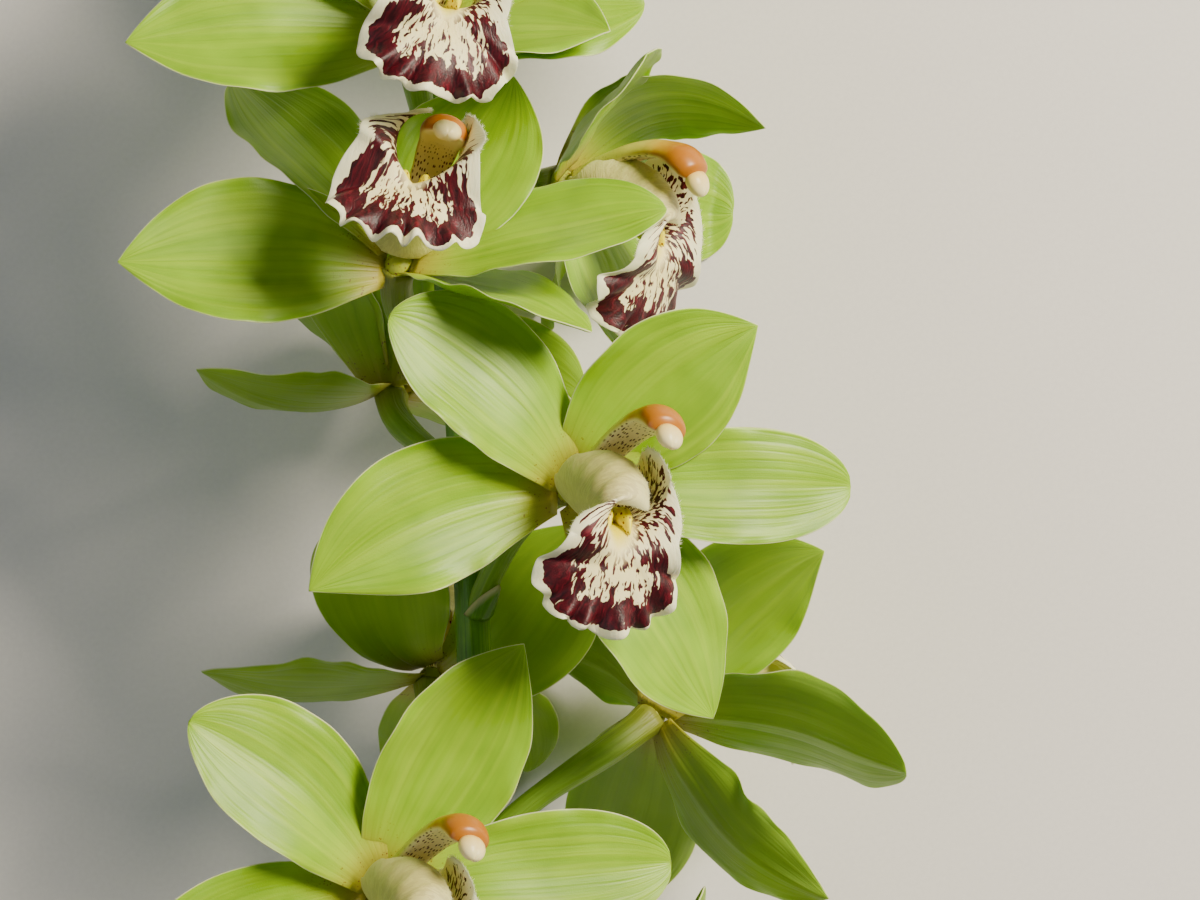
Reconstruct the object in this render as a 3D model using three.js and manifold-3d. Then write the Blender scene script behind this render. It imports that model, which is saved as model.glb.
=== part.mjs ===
// A cut stem of cymbidium orchid, laid down: one arching green spike with ten
// open blooms and three buds. It lies on the tepals of its back blooms and on
// its cut end.
//
// Millimetres throughout. The spike is laid out round its own axis, with +X
// across it, +Y towards its tip and +Z up from the surface that it lies on, and
// the last lines move the whole stem on to its origin.

import * as THREE from 'three';
import { mergeVertices } from 'three/addons/utils/BufferGeometryUtils.js';
import Module from 'manifold-3d';

const wasm = await Module();
wasm.setup();

// ---------------------------------------------------------------- driving sizes

const SURFACE_Z = -50; // the surface it lies on, below the axis of the spike
const PRESS_DEPTH = 5; // how far above the surface a tepal starts to bend flat
const GAP = 0.3; // clearance between pieces that only touch

const TEPAL_THICKNESS = 0.95;
const TEPAL_ROWS = 5;
const TEPAL_COLUMNS = 4;

// The two kinds of tepal: where it is widest as a share of its length, how wide
// its foot is as a share of its width, how blunt its tip is (less is blunter),
// how far its section curls in radians from midrib to edge, and how far behind
// the front whorl it starts.
const SEPAL = { length: 57, width: 31, widest: 0.5, base: 0.22, point: 0.95, cup: 0.3, behind: 1.3 };
const PETAL = { length: 55, width: 28, widest: 0.56, base: 0.22, point: 0.6, cup: 0.25, behind: -1.3 };
const TEPAL_FOOT = 2.6; // how far from the middle of the hub a tepal starts
const TEPAL_WAVE = 0.7; // how far a tepal's edges wave to and fro

const LIP_THICKNESS = 1.3;
const LIP_ROWS = 9;
const LIP_COLUMNS = 6;

const HUB_RADII = [4.3, 4.3, 4.9]; // across, up and along the facing
const HUB_BACK = 2; // how far the hub's middle lies behind the tepals
const PEDICEL_RADIUS = 2.5;
const OVARY_RADIUS = 3.2;
const BRACT_LENGTH = 12;
const SHEATH_THICKNESS = 0.9;

const SPIKE_SIDES = 8;
const SPIKE_STEPS = 18;
const SPIKE_RADIUS = { tip: 1.9, blooms: 3.7, cut: 4.3 };
const SPIKE = [
  [-37, 152, 2],
  [-36, 125, 0],
  [-35, 80, 0],
  [-31.6, 41, 0],
  [-28.5, 5.4, 0],
  [-26.2, -39.3, 0],
  [-25.4, -74.8, 0],
  [-24.5, -115, -2],
  [-22, -165, -10],
  [-17, -225, -27],
  [-9, -300, -45.75],
];

// ---------------------------------------------------------------------- blooms
//
// A bloom sits at its hub and faces along yaw (to +X) and pitch (to +Y), in
// degrees; roll leans its dorsal sepal to the right of someone it faces. Its
// stalk leaves the spike at the joint.
//
// The tips of its tepals are measured from the hub, and a tepal without a tip
// takes its usual place. bow moves its midrib forward at one third and at two
// thirds of its length, bend moves it sideways there, and turn rolls it round
// its midrib, in degrees. A width or a point stands in for the one of its kind.

const BLOOMS = [
  {
    hub: [0, -128, -6], yaw: 78, pitch: 0, roll: 0, joint: [-23, -163, -10],
    tepals: {
      dorsal: { tip: [22, 38, 8] },
      petal_left: { tip: [8, -12, 49] },
      petal_right: { tip: [8, -8, -47] },
      sepal_left: { tip: [6, -46, 26] },
      sepal_right: { tip: [2, -44, -32] },
    },
  },
  {
    hub: [-44, -87.6, 30], yaw: 32, pitch: 4, roll: 20, joint: [-24.5, -118, -2],
    tepals: {
      dorsal: { tip: [29, 48.9, 2], bend: [-3, -3] },
      petal_left: { tip: [-36.6, 34.5, 18], bend: [3, 4] },
      petal_right: { tip: [58.6, 4, -12], width: 26, point: 0.5 },
      sepal_left: { tip: [-52, -24, 18], bend: [5, 4], width: 29 },
      sepal_right: { tip: [25, -49, -12] },
    },
  },
  {
    hub: [11.5, -54.8, -10], yaw: 125, pitch: 36, roll: 0, joint: [-25, -84, 0],
    tepals: {
      dorsal: { tip: [34.8, 34.2, 16], bend: [6, 6], width: 28 },
      petal_left: { tip: [51, -10.3, 26], width: 30, bend: [1, 1] },
      petal_right: { tip: [-26, 14, -33], width: 30 },
      sepal_left: { tip: [35.8, -37.1, 16], turn: -15, bow: [-6, -6], bend: [-4, -4], width: 25 },
      sepal_right: { tip: [-13, -48, -48], turn: -15 },
    },
  },
  {
    hub: [-35.5, -47.5, -16], yaw: 170, pitch: 66, roll: 0, joint: [-25.6, -68, 0],
    tepals: {
      dorsal: { tip: [32, 32, 5], turn: -60, bow: [-9, 0] },
      petal_right: { tip: [-11, 34, 30], width: 30, bend: [6, 3], bow: [-9, 0] },
      petal_left: { tip: [20, -22, -28] },
      sepal_right: { tip: [-46.4, 2.5, 22], bow: [-5, -4], width: 26 },
      sepal_left: { tip: [4, -40, -44] },
    },
  },
  {
    hub: [-5.6, -7.6, 30], yaw: 32, pitch: 4, roll: 20, joint: [-26.4, -35, 0],
    tepals: {
      dorsal: { tip: [37.3, 32.4, 2], bend: [-5, -5] },
      petal_left: { tip: [-35.7, 34.1, 18], bend: [3, 4], width: 28 },
      petal_right: { tip: [56.6, 0.2, -12], width: 24, point: 0.5 },
      sepal_left: { tip: [-51.5, -20.2, 18], bend: [8.5, 7.5], width: 29 },
      sepal_right: { tip: [28.8, -46.9, -12] },
    },
  },
  {
    hub: [-43.8, 13.1, -16], yaw: 178, pitch: 64, roll: 0, joint: [-28.2, -8, 0],
    tepals: {
      dorsal: { tip: [-11, 43, 14] },
      petal_right: { tip: [-34, 36, 0], width: 32 },
      petal_left: { tip: [40, -2, -24], turn: -30 },
      sepal_right: { tip: [-38.5, 3.8, 28], turn: -6, bow: [-7, -6], width: 28 },
      sepal_left: { tip: [42, -14, -30] },
    },
  },
  {
    hub: [-40.1, 37.7, 28], yaw: 20, pitch: 50, roll: 12, joint: [-29, 6, 0],
    tepals: {
      dorsal: { tip: [22.7, 38.2, -10], bend: [2, 2] },
      petal_left: { tip: [-34.4, 37.8, -16] },
      petal_right: { tip: [53.4, 10.4, 9], bow: [0, 4], bend: [3, 3], width: 29 },
      sepal_left: { tip: [-55.2, -0.5, 14], turn: -35 },
      sepal_right: { tip: [38.7, -14.3, 20], turn: -20, bow: [3, 3] },
    },
  },
  {
    hub: [-7.3, 55.6, -4], yaw: 55, pitch: -3, roll: 0, joint: [-32, 40, 0],
    tepals: {
      dorsal: { tip: [41.3, 10.5, 6], bow: [-13, -10], bend: [-12, -11], turn: 35 },
      petal_left: { tip: [17, 23.4, 34], bow: [-4, 0] },
      petal_right: { tip: [36.6, -4, -62], width: 25 },
      sepal_left: { tip: [15.4, -38.5, 6] },
      sepal_right: { tip: [-5, -24, -50] },
    },
  },
  {
    hub: [-35.5, 84, 30], yaw: 18, pitch: 27, roll: 15, joint: [-34.2, 55, 0],
    tepals: {
      dorsal: { tip: [15, 47, -22] },
      petal_left: { tip: [-36, 38, -4] },
      petal_right: { tip: [44.5, 5, 4] },
      sepal_left: { tip: [-58.1, -3.6, 14] },
      sepal_right: { tip: [37.5, -1.6, 18], turn: -15 },
    },
  },
  {
    hub: [-8, 134, 12], yaw: 42, pitch: 22, roll: 5, joint: [-36, 100, 0],
    tepals: {},
  },
];

// The usual place of each tepal: its angle round the facing from straight up,
// clockwise as seen from in front, and its lean forward, both in degrees.
const PLACES = {
  dorsal: { form: SEPAL, angle: 0, lean: 25 },
  petal_left: { form: PETAL, angle: -68, lean: 15 },
  petal_right: { form: PETAL, angle: 68, lean: 15 },
  sepal_left: { form: SEPAL, angle: -128, lean: 10 },
  sepal_right: { form: SEPAL, angle: 128, lean: 10 },
};

// Stations of the lip from its claw to its front edge, in the plane that halves
// it: how far forward, how far up, and its half width there measured along the
// sheet. It widens to the side lobes, pinches in and widens to the mid-lobe.
const LIP_STATIONS = [
  [2.6, -2.8, 2.6],
  [6, -4.6, 7],
  [10, -6.6, 13.5],
  [14.5, -7.6, 18],
  [18.5, -8, 19],
  [22, -8.4, 16],
  [25, -9.8, 14],
  [27, -13, 12.5],
  [27.4, -17.5, 15.5],
  [26.4, -22.5, 16],
  [24.4, -27, 13],
  [22, -30.4, 6],
];
const MIDLOBE_CURL = -0.03; // the mid-lobe bends the other way
const RUFFLE = { height: 1.3, waves: 7 };

// The side lobes, of which the left one rolls over further: how tightly they
// curl up, in radians a millimetre, and how far their tops lie ahead of their
// feet.
const SIDE_LOBES = {
  left: { curl: 0.14, lean: 9 },
  right: { curl: 0.13, lean: 5 },
};

// Stations of the column: how far forward, how far up, half its width and half
// its depth.
const COLUMN_STATIONS = [
  [3.3, 1.4, 2.2, 1.9],
  [9, 6.4, 2.6, 1.9],
  [16, 10.6, 2.9, 2],
  [23, 12.5, 3.3, 2.2],
  [28.8, 11.4, 3.3, 2.2],
  [32, 8.6, 2.6, 1.7],
];
const CAP = { place: [32.6, 6.6], radii: [2.6, 2.2, 2.6] };

const BUDS = [
  { foot: [-36.5, 128, 0], end: [-58, 150, -4], length: 26, radius: 6.5 },
  { foot: [-37, 142, 2], end: [-30, 164, -6], length: 23, radius: 5.6 },
  { foot: [-37, 152, 2], end: [-43, 169, 6], length: 19, radius: 4.6 },
];

const BUD_OVERHANG = 2; // how far a bud sits down over the end of its stalk
const BUD_STALK_RADIUS = 1.7;

// Sheaths of the bare stem: where each one's foot and tip lie along the spike,
// as a share of its length from its tip, how far round it wraps to each side
// and which way its middle faces, both in radians.
const SHEATHS = [
  { foot: 0.83, tip: 0.71, spread: 1.9, turn: 0.6 },
  { foot: 0.92, tip: 0.8, spread: 1.6, turn: 3.6 },
  { foot: 0.985, tip: 0.9, spread: 1.3, turn: 1.8 },
];

// ------------------------------------------------------------------- materials

const LIME = new THREE.MeshStandardMaterial({ color: 0xb4cc58, roughness: 0.45 });
const STEM_GREEN = new THREE.MeshStandardMaterial({ color: 0x4d7a1f, roughness: 0.5 });
const LIP_CREAM = new THREE.MeshStandardMaterial({ color: 0x9b4450, roughness: 0.5 });
const COLUMN_CREAM = new THREE.MeshStandardMaterial({ color: 0xe8b57c, roughness: 0.4 });
const IVORY = new THREE.MeshStandardMaterial({ color: 0xf3e8cc, roughness: 0.4 });
const BUD_GREEN = new THREE.MeshStandardMaterial({ color: 0x9dbb45, roughness: 0.45 });

// --------------------------------------------------------------------- helpers

const vec = (point) => new THREE.Vector3(...point);
const radians = THREE.MathUtils.degToRad;

// A point moved along several directions: offset(p, a, 2, b, 3) is p + 2a + 3b.
function offset(point, ...moves) {
  const moved = point.clone();
  for (let i = 0; i < moves.length; i += 2) {
    moved.addScaledVector(moves[i], moves[i + 1]);
  }
  return moved;
}

// The part of a direction that is square to another, one unit long.
function squareTo(direction, other) {
  return offset(direction, other, -direction.dot(other)).normalize();
}

function solidOf(geometry) {
  const bare = new THREE.BufferGeometry();
  bare.setAttribute('position', geometry.getAttribute('position'));
  bare.setIndex(geometry.index);
  const merged = mergeVertices(bare);
  return new wasm.Manifold(new wasm.Mesh({
    numProp: 3,
    vertProperties: new Float32Array(merged.getAttribute('position').array),
    triVerts: new Uint32Array(merged.index.array),
  }));
}

// Solids fused in one, with its hollows filled and its loose scraps dropped.
function joined(solids) {
  const whole = solids.reduce((sum, solid) => sum.add(solid));
  return whole.decompose().reduce((best, part) => (part.volume() > best.volume() ? part : best));
}

function geometryOf(solid) {
  const mesh = solid.getMesh();
  const geometry = new THREE.BufferGeometry();
  geometry.setAttribute('position', new THREE.BufferAttribute(mesh.vertProperties, 3));
  geometry.setIndex(new THREE.BufferAttribute(mesh.triVerts, 1));
  return geometry;
}

// The outline of a PlaneGeometry's grid, anticlockwise, as vertex numbers.
function gridOutline(rows, columns) {
  const at = (row, column) => column * (rows + 1) + row;
  const outline = [];
  for (let row = 0; row < rows; row += 1) outline.push(at(row, columns));
  for (let column = columns; column > 0; column -= 1) outline.push(at(rows, column));
  for (let row = rows; row > 0; row -= 1) outline.push(at(row, 0));
  for (let column = 0; column < columns; column += 1) outline.push(at(0, column));
  return outline;
}

// A closed blade of even thickness round a curved sheet. surface(u, v) gives
// the middle of the sheet, with u from 0 at the foot to 1 at the tip and v from
// -1 on the left edge to 1 on the right. Both faces are split into triangles
// alike, so that they never cross.
function blade(surface, rows, columns, thickness) {
  const sheet = new THREE.PlaneGeometry(1, 1, rows, columns);
  const place = sheet.getAttribute('position');
  for (let i = 0; i < place.count; i += 1) {
    const point = surface(place.getX(i) + 0.5, -2 * place.getY(i));
    place.setXYZ(i, point.x, point.y, point.z);
  }
  sheet.computeVertexNormals();
  const normal = sheet.getAttribute('normal');
  const count = place.count;
  const corners = new Float32Array(count * 6);
  for (let i = 0; i < count; i += 1) {
    const middle = new THREE.Vector3().fromBufferAttribute(place, i);
    const out = new THREE.Vector3().fromBufferAttribute(normal, i);
    offset(middle, out, thickness / 2).toArray(corners, i * 3);
    offset(middle, out, -thickness / 2).toArray(corners, (count + i) * 3);
  }
  const faces = [];
  const front = sheet.index.array;
  for (let i = 0; i < front.length; i += 3) {
    const [a, b, c] = front.slice(i, i + 3);
    faces.push(a, b, c, count + c, count + b, count + a);
  }
  const outline = gridOutline(rows, columns);
  outline.forEach((a, i) => {
    const b = outline[(i + 1) % outline.length];
    faces.push(a, count + a, b, b, count + a, count + b);
  });
  const geometry = new THREE.BufferGeometry();
  geometry.setAttribute('position', new THREE.BufferAttribute(corners, 3));
  geometry.setIndex(faces);
  return solidOf(geometry);
}

// A closed tube with an oval section along a curve. radii(t) gives the section's
// two half widths; the first lies along `side`, as nearly as the curve lets it.
function tube(curve, steps, sides, side, radii) {
  const geometry = new THREE.CylinderGeometry(1, 1, 1, sides, steps);
  const place = geometry.getAttribute('position');
  for (let i = 0; i < place.count; i += 1) {
    const t = THREE.MathUtils.clamp(place.getY(i) + 0.5, 0, 1);
    const along = curve.getTangent(t);
    const first = squareTo(side, along);
    const second = new THREE.Vector3().crossVectors(first, along);
    const [a, b] = radii(t);
    const point = offset(curve.getPoint(t), first, a * place.getX(i), second, b * place.getZ(i));
    place.setXYZ(i, point.x, point.y, point.z);
  }
  return solidOf(geometry);
}

// An egg shape whose three half widths lie along a bloom's or a bud's own axes.
function egg(middle, axes, radii, sides, rings) {
  const geometry = new THREE.SphereGeometry(1, sides, rings);
  const place = geometry.getAttribute('position');
  for (let i = 0; i < place.count; i += 1) {
    const point = offset(
      middle,
      axes.side, radii[0] * place.getX(i),
      axes.facing, radii[2] * place.getY(i),
      axes.up, -radii[1] * place.getZ(i),
    );
    place.setXYZ(i, point.x, point.y, point.z);
  }
  return solidOf(geometry);
}

// ----------------------------------------------------------------- bloom pieces

// A bloom's own axes: the way it faces, its up (towards the dorsal sepal) and
// its side, to the right of someone it faces.
function axesOf({ yaw, pitch, roll }) {
  const y = radians(yaw);
  const p = radians(pitch);
  const facing = new THREE.Vector3(
    Math.sin(y) * Math.cos(p), Math.sin(p), Math.cos(y) * Math.cos(p),
  );
  const up = squareTo(new THREE.Vector3(0, 1, 0), facing);
  up.applyAxisAngle(facing, -radians(roll));
  const side = new THREE.Vector3().crossVectors(up, facing);
  return { facing, up, side };
}

// Bends what would go through the surface flat on to it.
function pressed(point, thickness) {
  const rest = SURFACE_Z + thickness / 2;
  const height = point.z - rest;
  if (height < -PRESS_DEPTH) {
    point.z = rest;
  } else if (height < PRESS_DEPTH) {
    point.z = rest + (height + PRESS_DEPTH) ** 2 / (4 * PRESS_DEPTH);
  }
  return point;
}

// Half a tepal's width at u: a narrow foot, the widest place, then the tip.
function halfWidth(u, form) {
  const rise = Math.sin((Math.PI / 2) * Math.min(u / form.widest, 1));
  const past = Math.max(0, (u - form.widest) / (1 - form.widest));
  const fall = Math.cos((Math.PI / 2) * past ** 1.2) ** form.point;
  const width = (form.width / 2) * (form.base + (1 - form.base) * rise) * fall;
  return Math.max(width, 0.45);
}

// One tepal: its midrib is a bow from the hub to its tip, and its section an arc
// that opens to the front.
function tepal(bloom, axes, name, index) {
  const { form, angle, lean } = PLACES[name];
  const own = bloom.tepals[name] ?? {};
  const shape = { bow: [5, 3], bend: [0, 0], turn: 0, ...form, ...own };
  const hub = vec(bloom.hub);
  const outward = offset(
    new THREE.Vector3(),
    axes.up, Math.cos(radians(angle)) * Math.cos(radians(lean)),
    axes.side, Math.sin(radians(angle)) * Math.cos(radians(lean)),
    axes.facing, Math.sin(radians(lean)),
  );
  const tip = own.tip ? hub.clone().add(vec(own.tip)) : offset(hub, outward, form.length);
  const chord = tip.clone().sub(hub).normalize();
  const outer = squareTo(chord, axes.facing);
  const foot = offset(hub, outer, TEPAL_FOOT, axes.facing, -shape.behind);
  const front = squareTo(axes.facing, chord);
  const right = new THREE.Vector3().crossVectors(chord, front);
  const reach = tip.distanceTo(foot);
  const midrib = new THREE.CubicBezierCurve3(
    foot,
    offset(foot, chord, reach / 3, front, shape.bow[0], right, shape.bend[0]),
    offset(foot, chord, (2 * reach) / 3, front, shape.bow[1], right, shape.bend[1]),
    tip,
  );
  const surface = (row, v) => {
    const u = 1 - (1 - row) ** 1.25;
    const along = midrib.getTangent(u);
    const face = squareTo(front, along).applyAxisAngle(along, radians(shape.turn));
    const across = new THREE.Vector3().crossVectors(along, face);
    const half = halfWidth(u, shape);
    const curl = (shape.cup * (1 + 0.4 * (1 - u) ** 2)) / (shape.width / 2);
    const arc = v * half;
    const wave = Math.sin(9 * u + 2.1 * index + (v > 0 ? 0 : 1.7)) * Math.sin(Math.PI * u);
    const point = offset(
      midrib.getPoint(u),
      across, Math.sin(curl * arc) / curl,
      face, (1 - Math.cos(curl * arc)) / curl + TEPAL_WAVE * wave * v * v,
    );
    return pressed(point, TEPAL_THICKNESS);
  };
  return blade(surface, TEPAL_ROWS, TEPAL_COLUMNS, TEPAL_THICKNESS);
}

function hubSolid(bloom, axes, grow) {
  const middle = offset(vec(bloom.hub), axes.facing, -HUB_BACK);
  return egg(middle, axes, HUB_RADII.map((radius) => radius + grow), 7, 4);
}

function tepals(bloom, axes) {
  const blades = Object.keys(PLACES).map((name, i) => tepal(bloom, axes, name, i));
  return joined([hubSolid(bloom, axes, 0), ...blades]);
}

// A curve through stations in a bloom's middle plane.
function middleCurve(bloom, axes, stations) {
  const hub = vec(bloom.hub);
  return new THREE.CatmullRomCurve3(
    stations.map(([ahead, above]) => offset(hub, axes.facing, ahead, axes.up, above)),
    false,
    'catmullrom',
  );
}

// A value between stations, eased from one to the next.
function between(stations, t, item) {
  const place = THREE.MathUtils.clamp(t, 0, 1) * (stations.length - 1);
  const first = Math.min(Math.floor(place), stations.length - 2);
  const share = THREE.MathUtils.smoothstep(place - first, 0, 1);
  return THREE.MathUtils.lerp(stations[first][item], stations[first + 1][item], share);
}

// The lip: one sheet, rolled up into side lobes beside the column and turned
// down into the ruffled mid-lobe.
function lip(bloom, axes) {
  const middle = middleCurve(bloom, axes, LIP_STATIONS);
  const surface = (u, v) => {
    const along = middle.getTangent(u);
    const inside = new THREE.Vector3().crossVectors(along, axes.side);
    const half = between(LIP_STATIONS, u, 2);
    const own = v < 0 ? SIDE_LOBES.left : SIDE_LOBES.right;
    const midlobe = THREE.MathUtils.smoothstep(u, 0.5, 0.68);
    const curl = THREE.MathUtils.lerp(own.curl, MIDLOBE_CURL, midlobe);
    const arc = v * half;
    const lobe = THREE.MathUtils.smoothstep(u, 0.05, 0.3) * (1 - midlobe);
    const wave = Math.sin(2 * Math.PI * RUFFLE.waves * u + (v > 0 ? 0 : 2));
    const ruffle = RUFFLE.height * wave * v * v * midlobe;
    const point = offset(
      middle.getPoint(u),
      axes.side, Math.sin(curl * arc) / curl,
      inside, (1 - Math.cos(curl * arc)) / curl + ruffle,
      axes.facing, own.lean * lobe * Math.abs(v) ** 1.3,
    );
    return pressed(point, LIP_THICKNESS);
  };
  return blade(surface, LIP_ROWS, LIP_COLUMNS, LIP_THICKNESS);
}

// The column, or the hollow it needs when it is grown by a clearance.
function column(bloom, axes, grow) {
  const [ahead, above] = COLUMN_STATIONS.at(-1);
  const end = [ahead + 0.75 * grow, above - 0.65 * grow];
  const curve = middleCurve(bloom, axes, [...COLUMN_STATIONS.slice(0, -1), end]);
  return tube(curve, 6, 7, axes.side, (t) => [
    between(COLUMN_STATIONS, t, 2) + grow,
    between(COLUMN_STATIONS, t, 3) + grow,
  ]);
}

function antherCap(bloom, axes) {
  const middle = offset(vec(bloom.hub), axes.facing, CAP.place[0], axes.up, CAP.place[1]);
  return egg(middle, axes, CAP.radii, 7, 5).subtract(column(bloom, axes, GAP));
}

// ------------------------------------------------------------------ stem pieces

const spikeCurve = new THREE.CatmullRomCurve3(SPIKE.map(vec), false, 'catmullrom');
const spikeShares = [0, 0.2, 0.6, 1];
const spikeRadii = [
  SPIKE_RADIUS.tip, SPIKE_RADIUS.blooms - 0.4, SPIKE_RADIUS.blooms, SPIKE_RADIUS.cut,
];

function spikeRadius(t) {
  const last = spikeShares.findIndex((share) => share >= t);
  if (last <= 0) return spikeRadii[0];
  const share = (t - spikeShares[last - 1]) / (spikeShares[last] - spikeShares[last - 1]);
  return THREE.MathUtils.lerp(spikeRadii[last - 1], spikeRadii[last], share);
}

// A flower stalk from its joint on the spike to the back of its hub, where it
// swells to the ovary.
function pedicel(bloom, axes) {
  const joint = vec(bloom.joint);
  const end = offset(vec(bloom.hub), axes.facing, -HUB_BACK - 2);
  const reach = joint.distanceTo(end);
  const upward = end.clone().sub(joint).normalize().add(new THREE.Vector3(0, 0.5, 0)).normalize();
  const curve = new THREE.CubicBezierCurve3(
    joint,
    offset(joint, upward, 0.35 * reach),
    offset(end, axes.facing, -0.35 * reach),
    end,
  );
  const stalk = tube(curve, 5, 6, axes.side, (t) => {
    const swelling = THREE.MathUtils.smoothstep(t, 0.35, 0.8);
    const radius = THREE.MathUtils.lerp(PEDICEL_RADIUS, OVARY_RADIUS, swelling);
    return [radius, radius];
  });
  return stalk.subtract(hubSolid(bloom, axes, GAP));
}

// A small pointed bract that clasps a stalk where it leaves the spike.
function bract(joint, toward) {
  const foot = vec(joint);
  const along = vec(toward).sub(foot).normalize();
  const away = squareTo(new THREE.Vector3(0, -1, 0), along);
  const across = new THREE.Vector3().crossVectors(along, away);
  const surface = (u, v) => {
    const angle = 1.35 * v * (1 - 0.55 * u);
    const radius = PEDICEL_RADIUS + 0.9 + 2.2 * u * u;
    return offset(
      foot,
      along, 2 + (BRACT_LENGTH - 2) * u,
      across, -Math.sin(angle) * radius * (1 - 0.75 * u ** 2),
      away, Math.cos(angle) * radius,
    );
  };
  return blade(surface, 2, 2, SHEATH_THICKNESS);
}

// A sheath that wraps the bare stem and stands off it at its pointed tip.
function sheath({ foot, tip, spread, turn }) {
  const side = new THREE.Vector3(1, 0, 0);
  const surface = (u, v) => {
    const t = THREE.MathUtils.lerp(foot, tip, u);
    const along = spikeCurve.getTangent(t).negate();
    const first = squareTo(side, along);
    const second = new THREE.Vector3().crossVectors(along, first);
    const angle = turn + v * spread * (1 - 0.8 * u ** 2);
    const radius = 0.97 * spikeRadius(t) + 0.15 + 2 * u ** 3;
    return offset(
      spikeCurve.getPoint(t),
      first, -Math.cos(angle) * radius,
      second, Math.sin(angle) * radius,
    );
  };
  return blade(surface, 4, 4, SHEATH_THICKNESS);
}

function budAxes(bud) {
  const facing = vec(bud.end).sub(vec(bud.foot)).normalize();
  const up = squareTo(new THREE.Vector3(0, 0, 1), facing);
  const side = new THREE.Vector3().crossVectors(up, facing);
  return { facing, up, side };
}

// A closed bud, or the hollow it needs when it is grown by a clearance.
function budSolid(bud, grow) {
  const axes = budAxes(bud);
  const middle = offset(vec(bud.end), axes.facing, bud.length / 2 - BUD_OVERHANG);
  const radii = [bud.radius + grow, bud.radius + grow, bud.length / 2 + grow];
  return egg(middle, axes, radii, 8, 6);
}

function budStalk(bud) {
  const foot = vec(bud.foot);
  const end = vec(bud.end);
  const curve = new THREE.CubicBezierCurve3(
    foot,
    offset(foot, new THREE.Vector3(0, 1, 0), 6),
    offset(end, budAxes(bud).facing, -8),
    end,
  );
  const radii = [BUD_STALK_RADIUS, BUD_STALK_RADIUS];
  return tube(curve, 3, 6, new THREE.Vector3(0, 0, 1), () => radii).subtract(budSolid(bud, GAP));
}

function stem() {
  const spike = tube(spikeCurve, SPIKE_STEPS, SPIKE_SIDES, new THREE.Vector3(1, 0, 0), (t) => {
    const radius = spikeRadius(t);
    return [radius, radius];
  });
  const parts = [spike];
  for (const bloom of BLOOMS) {
    parts.push(pedicel(bloom, axesOf(bloom)));
    parts.push(bract(bloom.joint, bloom.hub));
  }
  for (const bud of BUDS) parts.push(budStalk(bud));
  for (const one of SHEATHS) parts.push(sheath(one));
  return joined(parts);
}

// -------------------------------------------------------------------- the stem

const orchid = new THREE.Group();

function place(name, solid, material) {
  const mesh = new THREE.Mesh(geometryOf(solid), material);
  mesh.name = name;
  orchid.add(mesh);
}

place('stem', stem(), STEM_GREEN);
BLOOMS.forEach((bloom, i) => {
  const axes = axesOf(bloom);
  const name = `bloom_${String(i + 1).padStart(2, '0')}`;
  place(`${name}_tepals`, tepals(bloom, axes), LIME);
  place(`${name}_lip`, lip(bloom, axes), LIP_CREAM);
  place(`${name}_column`, column(bloom, axes, 0), COLUMN_CREAM);
  place(`${name}_anther_cap`, antherCap(bloom, axes), IVORY);
});
BUDS.forEach((bud, i) => place(`bud_${i + 1}`, budSolid(bud, 0), BUD_GREEN));

// The origin is under the middle of the stem's box, on the surface.
const box = new THREE.Box3().setFromObject(orchid, true);
const middle = box.getCenter(new THREE.Vector3());
orchid.position.set(-middle.x, -middle.y, -SURFACE_Z);

export default orchid;
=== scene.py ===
"""A cut stem of cymbidium orchid, dressed for a close look.

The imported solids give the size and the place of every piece. Here each bloom,
bud and stalk is made again at a finer grain over the same forms, with its flesh
thinned to the edge, and gets its veins, markings, hairs and waxy finish.

Lengths of the plant are in millimetres, laid out round the spike: +X across it,
+Y towards its tip and +Z up. placed() turns them into the frame's metres.
"""
import math
import random

import bmesh
import bpy
from mathutils import Matrix, Vector, noise


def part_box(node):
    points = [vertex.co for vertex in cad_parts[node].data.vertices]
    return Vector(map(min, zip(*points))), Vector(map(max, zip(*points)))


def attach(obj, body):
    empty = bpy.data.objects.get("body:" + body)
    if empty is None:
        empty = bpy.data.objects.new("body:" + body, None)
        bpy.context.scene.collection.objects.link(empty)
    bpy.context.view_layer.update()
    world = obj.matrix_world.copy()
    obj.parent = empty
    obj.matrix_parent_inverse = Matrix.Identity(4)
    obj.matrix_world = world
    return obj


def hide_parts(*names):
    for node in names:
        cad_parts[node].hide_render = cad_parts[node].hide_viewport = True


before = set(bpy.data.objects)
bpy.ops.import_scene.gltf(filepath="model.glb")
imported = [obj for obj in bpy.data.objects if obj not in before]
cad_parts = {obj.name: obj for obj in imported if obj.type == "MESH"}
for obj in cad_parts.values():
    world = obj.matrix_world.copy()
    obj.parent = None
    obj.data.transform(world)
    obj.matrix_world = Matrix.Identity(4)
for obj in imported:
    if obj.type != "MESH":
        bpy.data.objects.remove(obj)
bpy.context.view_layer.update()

MM = 0.001

# ------------------------------------------------------------------ camera

CAMERA_HEIGHT = 930  # above the axis of the spike
CAMERA_LENS = 135
CAMERA_SENSOR = 36

# ------------------------------------------------------------------- sizes

SURFACE_Z = -50  # the surface it lies on, below the axis of the spike
PRESS_DEPTH = 5  # how far above the surface a blade starts to bend flat

# Blades of flesh: tepals, lips, bracts and sheaths.
LINES_CROWD = 1.3  # above 1, the lines across a blade crowd towards its tip
EDGE_POWER = 4  # how squarely a blade's section ends; more is squarer
END_POWER = 16  # the same of its foot and its tip
NO_EDGE = 5  # the margin mark of a piece that has no edge
WELD = 0.004  # points that lie closer than this are joined

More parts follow.
